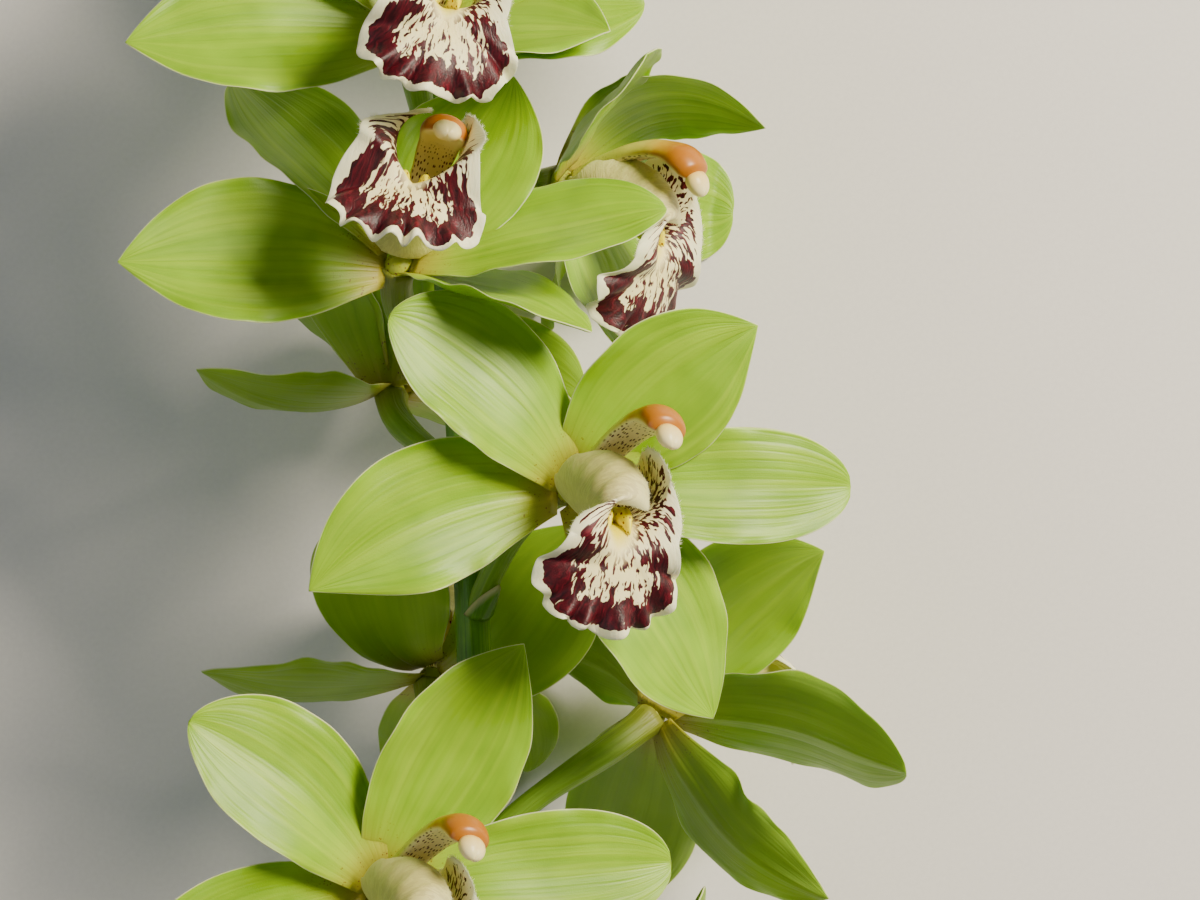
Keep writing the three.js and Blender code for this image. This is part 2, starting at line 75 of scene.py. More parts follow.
# The two kinds of tepal: where it is widest as a share of its length, how wide
# its foot is as a share of its width, how blunt its tip is (less is blunter),
# how far its section curls in radians from midrib to edge, and how far behind
# the front whorl it starts.
SEPAL = {
    "length": 57, "width": 31, "widest": 0.5, "base": 0.3, "point": 0.95, "cup": 0.3,
    "behind": 1.3,
}
PETAL = {
    "length": 55, "width": 28, "widest": 0.56, "base": 0.3, "point": 0.6, "cup": 0.25,
    "behind": -1.3,
}
TEPAL_GRID = (40, 22)  # steps along and across
TEPAL_THICKNESS = 0.95  # of its solid
TEPAL_FLESH = 0.75 * TEPAL_THICKNESS  # of the finer blade
TEPAL_FOOT = 2.6  # how far from the middle of the hub a tepal starts
TEPAL_BOW = (5, 3)  # how far its midrib usually bows forward
FOOT_FOLD = 0.4  # how much tighter its section curls at the foot, as a share
TIP_FOLD = 1.6  # and at its creased tip
TIP_FROM = 0.8  # where along it the crease of the tip starts
TEPAL_WAVE = 0.7  # how far its edges wave to and fro
WAVES_ALONG = 9  # in radians of the wave
NEXT_WAVE = 2.1  # how far the wave of each tepal runs ahead of the last one's
OTHER_WAVE = 1.7  # and that of its left edge ahead of its right edge's
TEPAL_SWELL = 1.5  # how far its face swells and sinks
SWELLS = (2.2, 1.1)  # how many swells along it, and to each side
TEPAL_FRILL = 1.6  # how far its very edge wavers
FRILLS = (7, 3)  # how many frills along it, and to each side
FRILL_SEED = 5
KEEL = 0.45  # how far the midrib stands out of its back
KEEL_WIDTH = 0.9
KEEL_FADE = 0.4  # how soon it fades towards the tip; more is sooner
GROOVE = 0.35  # how deep the midrib is sunk in front
GROOVE_WIDTH = 1.3
GROOVE_FULL = 0.2  # where along it the groove has its full depth

# How far on the noise lies for the tepals of the next bloom, for the next tepal
# and for the next lip.
BLOOM_STEP = 11.3
TEPAL_STEP = 3.7
LIP_STEP = 2.3

HUB_RADII = (3.0, 3.0, 3.4)  # across, up and along the facing
HUB_BACK = 1.4  # how far the hub's middle lies behind the tepals
HUB_GRID = (14, 20)
HUB_RUN = 0.1  # the hub is coloured as a tepal is at this share of its length
HUB_TINT = 0.5

# The stalk of a bloom, which swells to the ovary.
PEDICEL_RADIUS = 2.5
PEDICEL_GRID = (36, 36)
PEDICEL_BEND = 0.35  # how far its bends reach, as a share of its length
LEAVES_UPWARD = 0.5  # how far it leans up the spike where it leaves it
OVARY_RADIUS = 3.2
OVARY_SPAN = (0.35, 0.8)  # where along it swells
OVARY_RIBS = 6
OVARY_RIB = 0.05  # how high they stand, as a share of its radius
OVARY_TWIST = 2  # how far they turn along it, in radians of their wave
SHOULDER = 0.12  # how much wider it is by the tepals
SHOULDER_FROM = 0.88

BRACT_LENGTH = 12
BRACT_START = 2  # how far from the joint it starts
BRACT_GRID = (10, 10)
BRACT_WRAP = 1.35  # how far round it wraps to each side, in radians
BRACT_UNWRAP = 0.55  # how much less at its tip
BRACT_NARROWS = 0.75  # how much narrower it is at its tip
BRACT_STANDS = (0.9, 1.1)  # how far it stands off at the foot, and more at the tip
BRACT_HALF = (0.5, 3.5)  # half its width at the tip, and more at the foot

SHEATH_THICKNESS = 0.9
BRACT_THICKNESS = 0.8 * SHEATH_THICKNESS
SHEATH_GRID = (30, 24)
SHEATH_LENGTH = 50
SHEATH_UNWRAP = 0.8  # how much less a sheath wraps at its tip
SHEATH_SUNK = 0.97  # the share of the stem's radius that it starts from
SHEATH_STANDS = (0.15, 2)  # how far it stands off all along, and more at the tip

SPIKE_LENGTH = 460
SPIKE_GRID = (260, 32)
SPIKE_RIBS = 7
SPIKE_RIB = 0.012  # how high they stand, as a share of its radius
SPIKE_RADII = ((0, 1.9), (0.2, 3.3), (0.6, 3.7), (1, 4.3))  # at shares of its length
SPIKE = [
    (-37, 152, 2),
    (-36, 125, 0),
    (-35, 80, 0),
    (-31.6, 41, 0),
    (-28.5, 5.4, 0),
    (-26.2, -39.3, 0),
    (-25.4, -74.8, 0),
    (-24.5, -115, -2),
    (-22, -165, -10),
    (-17, -225, -27),
    (-9, -300, -45.75),
]

# A bloom sits at its hub and faces along yaw (to +X) and pitch (to +Y), in
# degrees; roll leans its dorsal sepal to the right of someone it faces. Its
# stalk leaves the spike at the joint.
#
# The tips of its tepals are measured from the hub, and a tepal without a tip
# takes its usual place. bow moves its midrib forward at one third and at two
# thirds of its length, bend moves it sideways there, and turn rolls it round
# its midrib, in degrees. A width or a point stands in for the one of its kind.
#
# A lip or a column may be turned its own way. left is how far the left side lobe
# of a lip rolls up, as a share of its usual roll, and lean is how far the tops of
# its side lobes lean forward.
BLOOMS = [
    {
        "hub": (0, -128, -6), "yaw": 78, "pitch": 0, "roll": 0, "joint": (-23, -163, -10),
        "tepals": {
            "dorsal": {"tip": (22, 38, 8)},
            "petal_left": {"tip": (8, -12, 49)},
            "petal_right": {"tip": (8, -8, -47)},
            "sepal_left": {"tip": (6, -46, 26)},
            "sepal_right": {"tip": (2, -44, -32)},
        },
    },
    {
        "hub": (-44, -87.6, 30), "yaw": 32, "pitch": 4, "roll": 20, "joint": (-24.5, -118, -2),
        "lip": {"yaw": 25, "roll": 9},
        "tepals": {
            "dorsal": {"tip": (29, 48.9, 2), "bend": (-3, -3)},
            "petal_left": {"tip": (-36.6, 34.5, 18), "bend": (3, 4)},
            "petal_right": {"tip": (58.6, 4, -12), "width": 26, "point": 0.5},
            "sepal_left": {"tip": (-52, -24, 18), "bend": (5, 4), "width": 29},
            "sepal_right": {"tip": (25, -49, -12)},
        },
    },
    {
        "hub": (11.5, -54.8, -10), "yaw": 125, "pitch": 36, "roll": 0, "joint": (-25, -84, 0),
        "tepals": {
            "dorsal": {"tip": (34.8, 34.2, 16), "bend": (6, 6), "width": 28},
            "petal_left": {"tip": (51, -10.3, 26), "width": 30, "bend": (1, 1)},
            "petal_right": {"tip": (-26, 14, -33), "width": 30},
            "sepal_left": {
                "tip": (35.8, -37.1, 16), "turn": -15, "bow": (-6, -6), "bend": (-4, -4),
                "width": 25,
            },
            "sepal_right": {"tip": (-13, -48, -48), "turn": -15},
        },
    },
    {
        "hub": (-35.5, -47.5, -16), "yaw": 170, "pitch": 66, "roll": 0, "joint": (-25.6, -68, 0),
        "tepals": {
            "dorsal": {"tip": (32, 32, 5), "turn": -60, "bow": (-9, 0)},
            "petal_right": {"tip": (-11, 34, 30), "width": 30, "bend": (6, 3), "bow": (-9, 0)},
            "petal_left": {"tip": (20, -22, -28)},
            "sepal_right": {"tip": (-46.4, 2.5, 22), "bow": (-5, -4), "width": 26},
            "sepal_left": {"tip": (4, -40, -44)},
        },
    },
    {
        "hub": (-5.6, -7.6, 30), "yaw": 32, "pitch": 4, "roll": 20, "joint": (-26.4, -35, 0),
        "lip": {"yaw": 25, "roll": 9},
        "tepals": {
            "dorsal": {"tip": (37.3, 32.4, 2), "bend": (-5, -5)},
            "petal_left": {"tip": (-35.7, 34.1, 18), "bend": (3, 4), "width": 28},
            "petal_right": {"tip": (56.6, 0.2, -12), "width": 24, "point": 0.5},
            "sepal_left": {"tip": (-51.5, -20.2, 18), "bend": (8.5, 7.5), "width": 29},
            "sepal_right": {"tip": (28.8, -46.9, -12)},
        },
    },
    {
        "hub": (-43.8, 13.1, -16), "yaw": 178, "pitch": 64, "roll": 0, "joint": (-28.2, -8, 0),
        "tepals": {
            "dorsal": {"tip": (-11, 43, 14)},
            "petal_right": {"tip": (-34, 36, 0), "width": 32},
            "petal_left": {"tip": (40, -2, -24), "turn": -30},
            "sepal_right": {"tip": (-38.5, 3.8, 28), "turn": -6, "bow": (-7, -6), "width": 28},
            "sepal_left": {"tip": (42, -14, -30)},
        },
    },
    {
        "hub": (-40.1, 37.7, 28), "yaw": 20, "pitch": 50, "roll": 12, "joint": (-29, 6, 0),
        "lip": {"pitch": 56, "roll": 23, "left": 0.74, "lean": 11},
        "column": {"pitch": 35, "roll": 20},
        "tepals": {
            "dorsal": {"tip": (22.7, 38.2, -10), "bend": (2, 2)},
            "petal_left": {"tip": (-34.4, 37.8, -16)},
            "petal_right": {"tip": (53.4, 10.4, 9), "bow": (0, 4), "bend": (3, 3), "width": 29},
            "sepal_left": {"tip": (-55.2, -0.5, 14), "turn": -35},
            "sepal_right": {"tip": (38.7, -14.3, 20), "turn": -20, "bow": (3, 3)},
        },
    },
    {
        "hub": (-7.3, 55.6, -4), "yaw": 55, "pitch": -3, "roll": 0, "joint": (-32, 40, 0),
        "lip": {"pitch": -8}, "column": {"pitch": -17},
        "tepals": {
            "dorsal": {"tip": (41.3, 10.5, 6), "bow": (-13, -10), "bend": (-12, -11), "turn": 35},
            "petal_left": {"tip": (17, 23.4, 34), "bow": (-4, 0)},
            "petal_right": {"tip": (36.6, -4, -62), "width": 25},
            "sepal_left": {"tip": (15.4, -38.5, 6)},
            "sepal_right": {"tip": (-5, -24, -50)},
        },
    },
    {
        "hub": (-35.5, 84, 30), "yaw": 18, "pitch": 27, "roll": 15, "joint": (-34.2, 55, 0),
        "lip": {"left": 0.7},
        "tepals": {
            "dorsal": {"tip": (15, 47, -22)},
            "petal_left": {"tip": (-36, 38, -4)},
            "petal_right": {"tip": (44.5, 5, 4)},
            "sepal_left": {"tip": (-58.1, -3.6, 14)},
            "sepal_right": {"tip": (37.5, -1.6, 18), "turn": -15},
        },
    },
    {
        "hub": (-8, 134, 12), "yaw": 42, "pitch": 22, "roll": 5, "joint": (-36, 100, 0),
        "tepals": {},
    },
]

# The usual place of each tepal: its kind, its angle round the facing from
# straight up, clockwise as seen from in front, and its lean forward, in degrees.
PLACES = {
    "dorsal": (SEPAL, 0, 25),
    "petal_left": (PETAL, -68, 15),
    "petal_right": (PETAL, 68, 15),
    "sepal_left": (SEPAL, -128, 10),
    "sepal_right": (SEPAL, 128, 10),
}

# Stations of the lip from its claw to its front edge, in the plane that halves
# it: how far forward, how far up, its half width there measured along the
# sheet, and how far its section rolls up on the left and on the right by its
# edge, in radians. It widens to the side lobes, pinches in and widens again to
# the mid-lobe. The left side lobe curls over the column, the right one stands.
LIP_STATIONS = [
    (2.6, -2.8, 4.2, 0.6, 0.6),
    (6, -4.4, 9.5, 1.3, 1.2),
    (10, -6.2, 15.5, 2.1, 1.7),
    (14, -7.4, 19.5, 2.7, 2.0),
    (17.8, -8.2, 20.8, 3.1, 2.1),
    (21, -9.2, 20.2, 3.5, 2.0),
    (23.6, -11, 17.8, 3.7, 1.7),
    (25, -14, 12, 0.3, 0.4),
    (25.2, -18, 15.8, -0.3, -0.3),
    (24.6, -22.6, 15.6, -0.5, -0.5),
    (23.7, -26.9, 12.3, -0.4, -0.4),
    (22.5, -30.6, 5.8, -0.3, -0.3),
]
LIP_LENGTH = 43.4  # along the sheet, from claw to front edge
LIP_GRID = (120, 64)
LIP_THICKNESS = 1.3  # of its solid
LIP_FLESH = 0.65 * LIP_THICKNESS  # of the finer blade
LIP_ROLL_STEPS = 12
LIP_ROLL_EASE = 1.3  # above 1, a side lobe turns up soonest by the floor
SIDE_RISE = (0.05, 0.3)  # where along the lip its side lobes rise
OPENING = (0.6, 0.72)  # where they give way to the mid-lobe
FRONT_ROUND = 0.93  # where its front starts to round off
LOBE_LEAN = 3  # how far the tops of the side lobes usually lean forward
LEAN_POWER = 1.3  # above 1, they lean most by their tops
LEFT_BELLY = 3  # how far the left one bellies forward
BELLY_RISE = (0.2, 0.45)  # where along the lip that grows
BELLY_POWER = 1.2  # above 1, it bellies most above half its height
PUCKER = 0.5  # how far the side lobes pucker
PUCKER_WIDTH = 6  # of one pucker
PUCKERS_ALONG = 6
DROOPS = (5, 1)  # how far the front corners of the left and right one droop
DROOP_AT = 0.585
DROOP_SPAN = 0.035
DROOP_POWER = 3

# The mid-lobe's edge: fine ruffles over a few wide folds.
FAN_FROM = 0.62  # where along the lip the mid-lobe fans out from
RUFFLE = 1.7  # how high a ruffle stands
RUFFLES_ROUND = 15  # in radians of the wave for each radian round the lobe
RUFFLE_WANDER = 3.5  # how far the wave runs ahead or behind, in radians
RUFFLE_UNEVEN = 0.8  # how much higher or lower a ruffle may be, as a share
RUFFLES_FROM = 0.72  # where along the lip its front edge starts to ruffle
RUFFLE_POWER = 2.6  # how soon the ruffles die out inwards; more is sooner
SCALLOP = 0.5  # how far each ruffle also pushes the edge in and out
FOLD = 3  # how high a wide fold stands
FOLDS_ROUND = 2.1  # in each radian round the lobe

CALLUS_STATIONS = [(10, -5), (15, -6), (19.5, -6.4), (22.8, -7.4), (25, -10.6)]
CALLUS_LENGTH = 17
CALLUS_GRID = (30, 16)
CALLUS_SPREAD = (1.3, 2.3)  # how far each ridge lies from the middle, at its ends
CALLUS_RADIUS = 0.9
CALLUS_HEIGHT = 1.7  # as a share of its width
CALLUS_KNOB = 0.3  # how much thicker it is at its blunt knob
KNOB_AT = 0.68
KNOB_SPAN = 0.16
CALLUS_THINS = 0.5  # how much thinner its front end is
CALLUS_THINS_FROM = 0.75

HAIRS = 420  # on the edges of a lip's side lobes
HAIRS_ALONG = (0.25, 0.66, 0.6)  # from, to, and where they stand closest
HAIR_LENGTH = 1.1
HAIR_LENGTHS = (0.5, 1.2)  # shares of it
HAIR_RADIUS = 0.06
HAIR_SPREAD = 0.35  # how unevenly they point; more is wilder
HAIR_SUNK = 0.25  # how deep its root is sunk in the edge
INSIDE_EDGE = 0.93  # a place just inside an edge, across a blade

# Stations of the column: how far forward, how far up, half its width and half
# its depth.
COLUMN_STATIONS = [
    (3.3, 1.4, 2.7, 2.2),
    (9, 6.0, 3.2, 2.3),
    (16, 10.3, 3.6, 2.4),
    (22.5, 12.2, 4.1, 2.7),
    (27.6, 11.6, 4.8, 3.6),
    (31.4, 9.2, 4.2, 3.0),
]
COLUMN_LENGTH = 40
COLUMN_GRID = (56, 36)
COLUMN_ROUNDS = (0.9, 1.02)  # where along it the tip rounds off
# How deep its underside is hollowed, as a share of its depth: all along, and
# how much more past one share of its length, in full past another.
HOLLOW = 0.35
HOLLOW_MORE = ((0.25, 0.1, 0.5), (0.2, 0.7, 0.95))
HOLLOW_POWER = 1.5  # how narrow the hollow is; more is narrower

CAP_PLACE = (32.1, 8.4)  # how far forward and up from the hub
CAP_TILT = 50  # how far it points down from the facing, in degrees
CAP_RADII = (2.9, 2.1, 3.0)
CAP_GRID = (22, 28)
CAP_FURROW = 0.16  # how deep the furrow between its two lobes is, as a share
CAP_FURROW_WIDTH = 0.22
CAP_NOTCH = 0.5  # how far the furrow also notches its end
CAP_TAPER = 0.1  # how much narrower its end is

BUDS = [
    {"foot": (-36.5, 128, 0), "end": (-58, 150, -4), "length": 26, "radius": 6.5},
    {"foot": (-37, 142, 2), "end": (-30, 164, -6), "length": 23, "radius": 5.6},
    {"foot": (-37, 152, 2), "end": (-43, 169, 6), "length": 19, "radius": 4.6},
]
BUD_OVERHANG = 2  # how far a bud sits down over the end of its stalk
BUD_GRID = (36, 48)
BUD_SEAM = 0.05  # how deep the three seams between its sepals are, as a share
BUD_SEAM_WIDTH = 0.16
BUD_BLUNT = 0.9  # under 1, its ends are blunter than an ellipse's
BUD_TAPER = 0.12  # how much narrower its tip is
BUD_STALK_RADIUS = 1.7
BUD_STALK_LENGTH = 25
BUD_STALK_GRID = (16, 20)
BUD_STALK_BENDS = (6, 8)  # how far its bends reach from the spike and from the bud

# Sheaths of the bare stem: where each one's foot and tip lie along the spike,
# as a share of its length from its tip, how far round it wraps to each side
# and which way its middle faces, both in radians.
SHEATHS = [
    (0.83, 0.71, 1.9, 0.6),
    (0.92, 0.8, 1.6, 3.6),
    (0.985, 0.9, 1.3, 1.8),
]

# Markings.
TEPAL_VEINS = 6.0  # to each side of a midrib
TEPALS_APART = 50.0  # how far apart the tints 0 and 1 lie in the noise
THROAT_ALONG = 13  # where along the lip its streaks fan out from
STREAKS_ROUND = 18.0  # streaks in a radian round the throat
DASHES_ROUND = 1.4 * STREAKS_ROUND
LIPS_APART = 40.0
EDGE_SPAN = 16.0  # how far in from its edge the lip's markings change
YELLOW_ALONG = 18  # where along the lip its throat is yellow
YELLOW_SQUEEZE = 0.42  # its width as a share of its length

# The stage, in the frame's metres.
FLOOR_REACH = 4
LIGHT_TARGET = (0, 0.05, 0.05)
WORLD_STRENGTH = 0.18

# ----------------------------------------------------------------- helpers


def clamp(value, low=0.0, high=1.0):
    return max(low, min(high, value))


def lerp(a, b, share):
    return a + (b - a) * share


def smoothstep(value, low, high):
    share = clamp((value - low) / (high - low))
    return share * share * (3 - 2 * share)


def square_to(direction, other):
    """The part of a direction that is square to another, one unit long."""
    return (direction - other * direction.dot(other)).normalized()


def through(points):
    """A smooth curve through points, as a function of t from 0 to 1."""
    points = [Vector(point) for point in points]
    points.insert(0, 2 * points[0] - points[1])
    points.append(2 * points[-1] - points[-2])
    spans = len(points) - 3

    def curve(t):
        place = clamp(t) * spans
        first = min(int(place), spans - 1)
        before, start, end, after = points[first:first + 4]
        x = place - first
        leave = (end - before) / 2
        arrive = (after - start) / 2
        return (
            start + leave * x + (3 * (end - start) - 2 * leave - arrive) * x ** 2
            + (2 * (start - end) + leave + arrive) * x ** 3
        )

    return curve


def bezier(a, b, c, d):
    return lambda t: (
        a * (1 - t) ** 3 + b * (3 * t * (1 - t) ** 2) + c * (3 * t ** 2 * (1 - t)) + d * t ** 3
    )


def tangent(curve, t):
    return (curve(min(1, t + 1e-4)) - curve(max(0, t - 1e-4))).normalized()


def between(stations, t, item):
    """A value between stations, eased from one to the next."""
    place = clamp(t) * (len(stations) - 1)
    first = min(int(place), len(stations) - 2)
    share = smoothstep(place - first, 0, 1)
    return lerp(stations[first][item], stations[first + 1][item], share)


def pressed(point, thickness):
    """Bend what would go through the surface flat on to it."""
    rest = SURFACE_Z + thickness / 2
    height = point.z - rest
    if height < -PRESS_DEPTH:
        point.z = rest
    elif height < PRESS_DEPTH:
        point.z = rest + (height + PRESS_DEPTH) ** 2 / (4 * PRESS_DEPTH)
    return point


class Axes:
    """The ways that a bloom or a bud faces: facing, up and side."""

    def __init__(self, facing, up):
        self.facing = facing
        self.up = up
        self.side = up.cross(facing)


def bloom_axes(bloom):
    yaw = math.radians(bloom["yaw"])
    pitch = math.radians(bloom["pitch"])
    facing = Vector((
        math.sin(yaw) * math.cos(pitch), math.sin(pitch), math.cos(yaw) * math.cos(pitch),
    ))
    up = square_to(Vector((0, 1, 0)), facing)
    up.rotate(Matrix.Rotation(-math.radians(bloom["roll"]), 3, facing))
    return Axes(facing, up)


def own_axes(bloom, part):
    """A bloom's axes, turned as one of its parts is."""
    return bloom_axes({**bloom, **bloom.get(part, {})})


def bud_axes(bud):
    facing = (Vector(bud["end"]) - Vector(bud["foot"])).normalized()
    return Axes(facing, square_to(Vector((0, 0, 1)), facing))


def bud_middle(bud):
    reach = bud["length"] / 2 - BUD_OVERHANG
    return Vector(bud["end"]) + bud_axes(bud).facing * reach


# The layout's origin in the frame, in millimetres, from the box of a bud, whose
# middle is known in both.
bud_low, bud_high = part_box("bud_1")
SHIFT = (bud_low + bud_high) / 2 / MM - bud_middle(BUDS[0])


def placed(point):
    return (point + SHIFT) * MM


# Marks that the materials read at each point of a piece:
#   lay     where it lies on the piece's own flesh, laid flat, in millimetres
#   across  from -1 to 1 across a blade
#   run     from 0 to 1 along a piece
#   margin  how far it lies from a blade's edge, in millimetres
#   back    1 on a blade's back, 0 on its front
#   lobe    1 on the lip's mid-lobe, 0 on its side lobes; on the stem, 1 on the
#           stalks of blooms and buds, 0 elsewhere
#   tint    one random number for each tepal and each lip
MARKS = ("across", "run", "margin", "back", "lobe", "tint")


def new_piece():
    bm = bmesh.new()
    bm.verts.layers.float_vector.new("lay")
    for mark in MARKS:
        bm.verts.layers.float.new(mark)
    return bm


def set_marks(bm, vert, lay, **marks):
    vert[bm.verts.layers.float_vector["lay"]] = lay
    for mark, value in marks.items():
        vert[bm.verts.layers.float[mark]] = value


def add_blade(bm, grid, surface, thickness, keel=0.0, tint=0.0):
    """Add a closed blade of flesh round a curved sheet.

    surface(u, v) gives a point of the sheet, its half width there and other
    marks, with u from 0 at the foot to 1 at the tip and v from -1 to 1. The
    blade thins to nothing at its edge, and a keel may stand out of its back.
    """
    sheets = [
        bmesh.ops.create_grid(bm, x_segments=grid[0], y_segments=grid[1], size=1)["verts"]
        for _ in range(2)
    ]
    depths = []
    for front, back in zip(*sheets):
        u = 1 - ((1 - front.co.x) / 2) ** LINES_CROWD
        v = math.sin(front.co.y * math.pi / 2)
        point, half, marks = surface(u, v)
        front.co = point
        back.co = point
        taper = math.sqrt(max(0, (1 - v ** EDGE_POWER) * (1 - (2 * u - 1) ** END_POWER)))
        across = v * half
        ridge = keel * math.exp(-(across / KEEL_WIDTH) ** 2) * (1 - u) ** KEEL_FADE * taper
        depths.append((thickness / 2 * taper, ridge))
        marks = {"lay": (across, marks.pop("along"), 0), "margin": half - abs(across), **marks}
        for vert, is_back in ((front, 0), (back, 1)):
            set_marks(bm, vert, across=v, run=u, back=is_back, tint=tint, **marks)
    bm.normal_update()
    for front, back, (depth, ridge) in zip(*sheets, depths):
        normal = front.normal.copy()
        front.co += normal * depth
        back.co -= normal * (depth + ridge)
    close_up(bm, sheets[0] + sheets[1])


def close_up(bm, verts):
    """Weld what meets, and turn every face outwards."""
    faces = {face for vert in verts for face in vert.link_faces}
    bmesh.ops.remove_doubles(bm, verts=verts, dist=WELD)
    bmesh.ops.recalc_face_normals(bm, faces=[face for face in faces if face.is_valid])


def add_tube(bm, grid, curve, side, radii, length, **marks):
    """Add a closed tube along a curve, with flat ends.

    radii(t, angle) gives its two half widths; the first lies along `side`, as
    nearly as the curve lets it. The first and the last step of the grid close
    the ends, so t runs from 0 to 1 over the steps between them.
    """
    verts = bmesh.ops.create_grid(bm, x_segments=grid[0], y_segments=grid[1], size=1)["verts"]
    steps = grid[0] - 2
    for vert in verts:
        end = abs(vert.co.x) > 1 - 1e-6
        t = clamp((vert.co.x + 1) / 2 * grid[0] / steps - 1 / steps)
        angle = vert.co.y * math.pi
        along = tangent(curve, t)
        first = square_to(side, along)
        second = first.cross(along)
        a, b = (0, 0) if end else radii(t, angle)
        vert.co = curve(t) + first * (a * math.cos(angle)) + second * (b * math.sin(angle))
        lay = (a * math.cos(angle), t * length, b * math.sin(angle))
        margin = 0 if end else NO_EDGE
        set_marks(bm, vert, lay, run=t, across=math.sin(angle), margin=margin, **marks)
    close_up(bm, verts)


def add_egg(bm, grid, middle, axes, radii, form=None, **marks):
    """Add an egg whose half widths lie along side, up and facing.

    form(ring, height, angle) may change how wide and how high each point is.
    """
    verts = bmesh.ops.create_grid(bm, x_segments=grid[0], y_segments=grid[1], size=1)["verts"]
    for vert in verts:
        run = (vert.co.x + 1) / 2
        angle = vert.co.y * math.pi
        ring = math.sin(run * math.pi)
        height = -math.cos(run * math.pi)
        if form:
            ring, height = form(ring, height, angle)
        x = radii[0] * ring * math.cos(angle)
        y = radii[1] * ring * math.sin(angle)
        z = radii[2] * height
        vert.co = middle + axes.side * x + axes.up * y + axes.facing * z
        own = {"run": run, "across": math.sin(angle), "margin": NO_EDGE, **marks}
        set_marks(bm, vert, (x, z, y), **own)
    close_up(bm, verts)


def finish_piece(bm, name, skins, node):
    """Put a piece in the frame, in place of its solid."""
    for vert in bm.verts:
        vert.co = placed(vert.co)
    for face in bm.faces:
        face.smooth = True
    mesh = bpy.data.meshes.new(name)
    bm.to_mesh(mesh)
    bm.free()
    piece = bpy.data.objects.new(name, mesh)
    bpy.context.scene.collection.objects.link(piece)
    for skin in skins:
        mesh.materials.append(skin)
    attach(piece, "root")
    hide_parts(node)
    return piece


# ------------------------------------------------------------------ tepals


def half_width(u, shape):
    """Half a tepal's width at u: a narrow foot, the widest place, then the tip."""
    rise = math.sin((math.pi / 2) * min(u / shape["widest"], 1))
    past = max(0, (u - shape["widest"]) / (1 - shape["widest"]))
    fall = math.cos((math.pi / 2) * past ** 1.2) ** shape["point"] if past < 1 else 0
    return (shape["width"] / 2) * (shape["base"] + (1 - shape["base"]) * rise) * fall


def tepal_sheet(bloom, axes, name, index, seed):
    """The sheet of one tepal: a bowed midrib, and a section that opens forward."""
    kind, angle, lean = PLACES[name]
    own = bloom["tepals"].get(name, {})
    shape = {"bow": TEPAL_BOW, "bend": (0, 0), "turn": 0, **kind, **own}
    angle = math.radians(angle)
    lean = math.radians(lean)
    hub = Vector(bloom["hub"])
    outward = (
        axes.up * (math.cos(angle) * math.cos(lean))
        + axes.side * (math.sin(angle) * math.cos(lean))
        + axes.facing * math.sin(lean)
    )
    tip = hub + (Vector(own["tip"]) if "tip" in own else outward * shape["length"])
    chord = (tip - hub).normalized()
    outer = square_to(chord, axes.facing)
    foot = hub + outer * TEPAL_FOOT - axes.facing * shape["behind"]
    front = square_to(axes.facing, chord)
    right = chord.cross(front)
    reach = (tip - foot).length
    (bow_near, bow_far), (bend_near, bend_far) = shape["bow"], shape["bend"]
    midrib = bezier(
        foot,
        foot + chord * (reach / 3) + front * bow_near + right * bend_near,
        foot + chord * (2 * reach / 3) + front * bow_far + right * bend_far,
        tip,
    )
    turn = math.radians(shape["turn"])

    def surface(u, mirrored):
        v = -mirrored
        along = tangent(midrib, u)
        face = square_to(front, along)
        face.rotate(Matrix.Rotation(turn, 3, along))
        across = along.cross(face)
        half = half_width(u, shape)
        fold = 1 + FOOT_FOLD * (1 - u) ** 2 + TIP_FOLD * smoothstep(u, TIP_FROM, 1)
        curl = shape["cup"] * fold / (shape["width"] / 2)
        arc = v * half

        # Waves, swells and frills die out at the foot and at the tip.
        inner = math.sin(math.pi * u)
        other = 0 if v > 0 else OTHER_WAVE
        swing = math.sin(WAVES_ALONG * u + NEXT_WAVE * index + other) * inner
        swell = noise.noise(Vector((SWELLS[0] * u, SWELLS[1] * v, seed))) * inner
        frill = noise.noise(Vector((FRILLS[0] * u, FRILLS[1] * v, seed + FRILL_SEED)))
        frill *= v ** 4 * inner
        groove = GROOVE * math.exp(-(arc / GROOVE_WIDTH) ** 2) * smoothstep(u, 0, GROOVE_FULL)
        lift = TEPAL_WAVE * swing * v * v + TEPAL_SWELL * swell + TEPAL_FRILL * frill - groove
        point = (
            midrib(u)
            + across * (math.sin(curl * arc) / curl)
            + face * ((1 - math.cos(curl * arc)) / curl + lift)
        )
        return pressed(point, TEPAL_THICKNESS), half, {"along": u * reach}

    return surface


def make_tepals(bloom, axes, name, number, chance):
    """The hub of a bloom and the five tepals that spread from it."""
    bm = new_piece()
    middle = Vector(bloom["hub"]) - axes.facing * HUB_BACK
    add_egg(bm, HUB_GRID, middle, axes, HUB_RADII, run=HUB_RUN, tint=HUB_TINT)
    for index, tepal in enumerate(PLACES):
        seed = BLOOM_STEP * number + TEPAL_STEP * index
        surface = tepal_sheet(bloom, axes, tepal, index, seed)
        add_blade(bm, TEPAL_GRID, surface, TEPAL_FLESH, KEEL, chance.random())
    node = f"{name}_tepals"
    return finish_piece(bm, f"{node}_fine", [TEPAL_SKIN], node)


# --------------------------------------------------------------------- lip


def middle_curve(bloom, axes, stations):
    """A curve through stations in a bloom's middle plane."""
    hub = Vector(bloom["hub"])
    return through([hub + axes.facing * one[0] + axes.up * one[1] for one in stations])


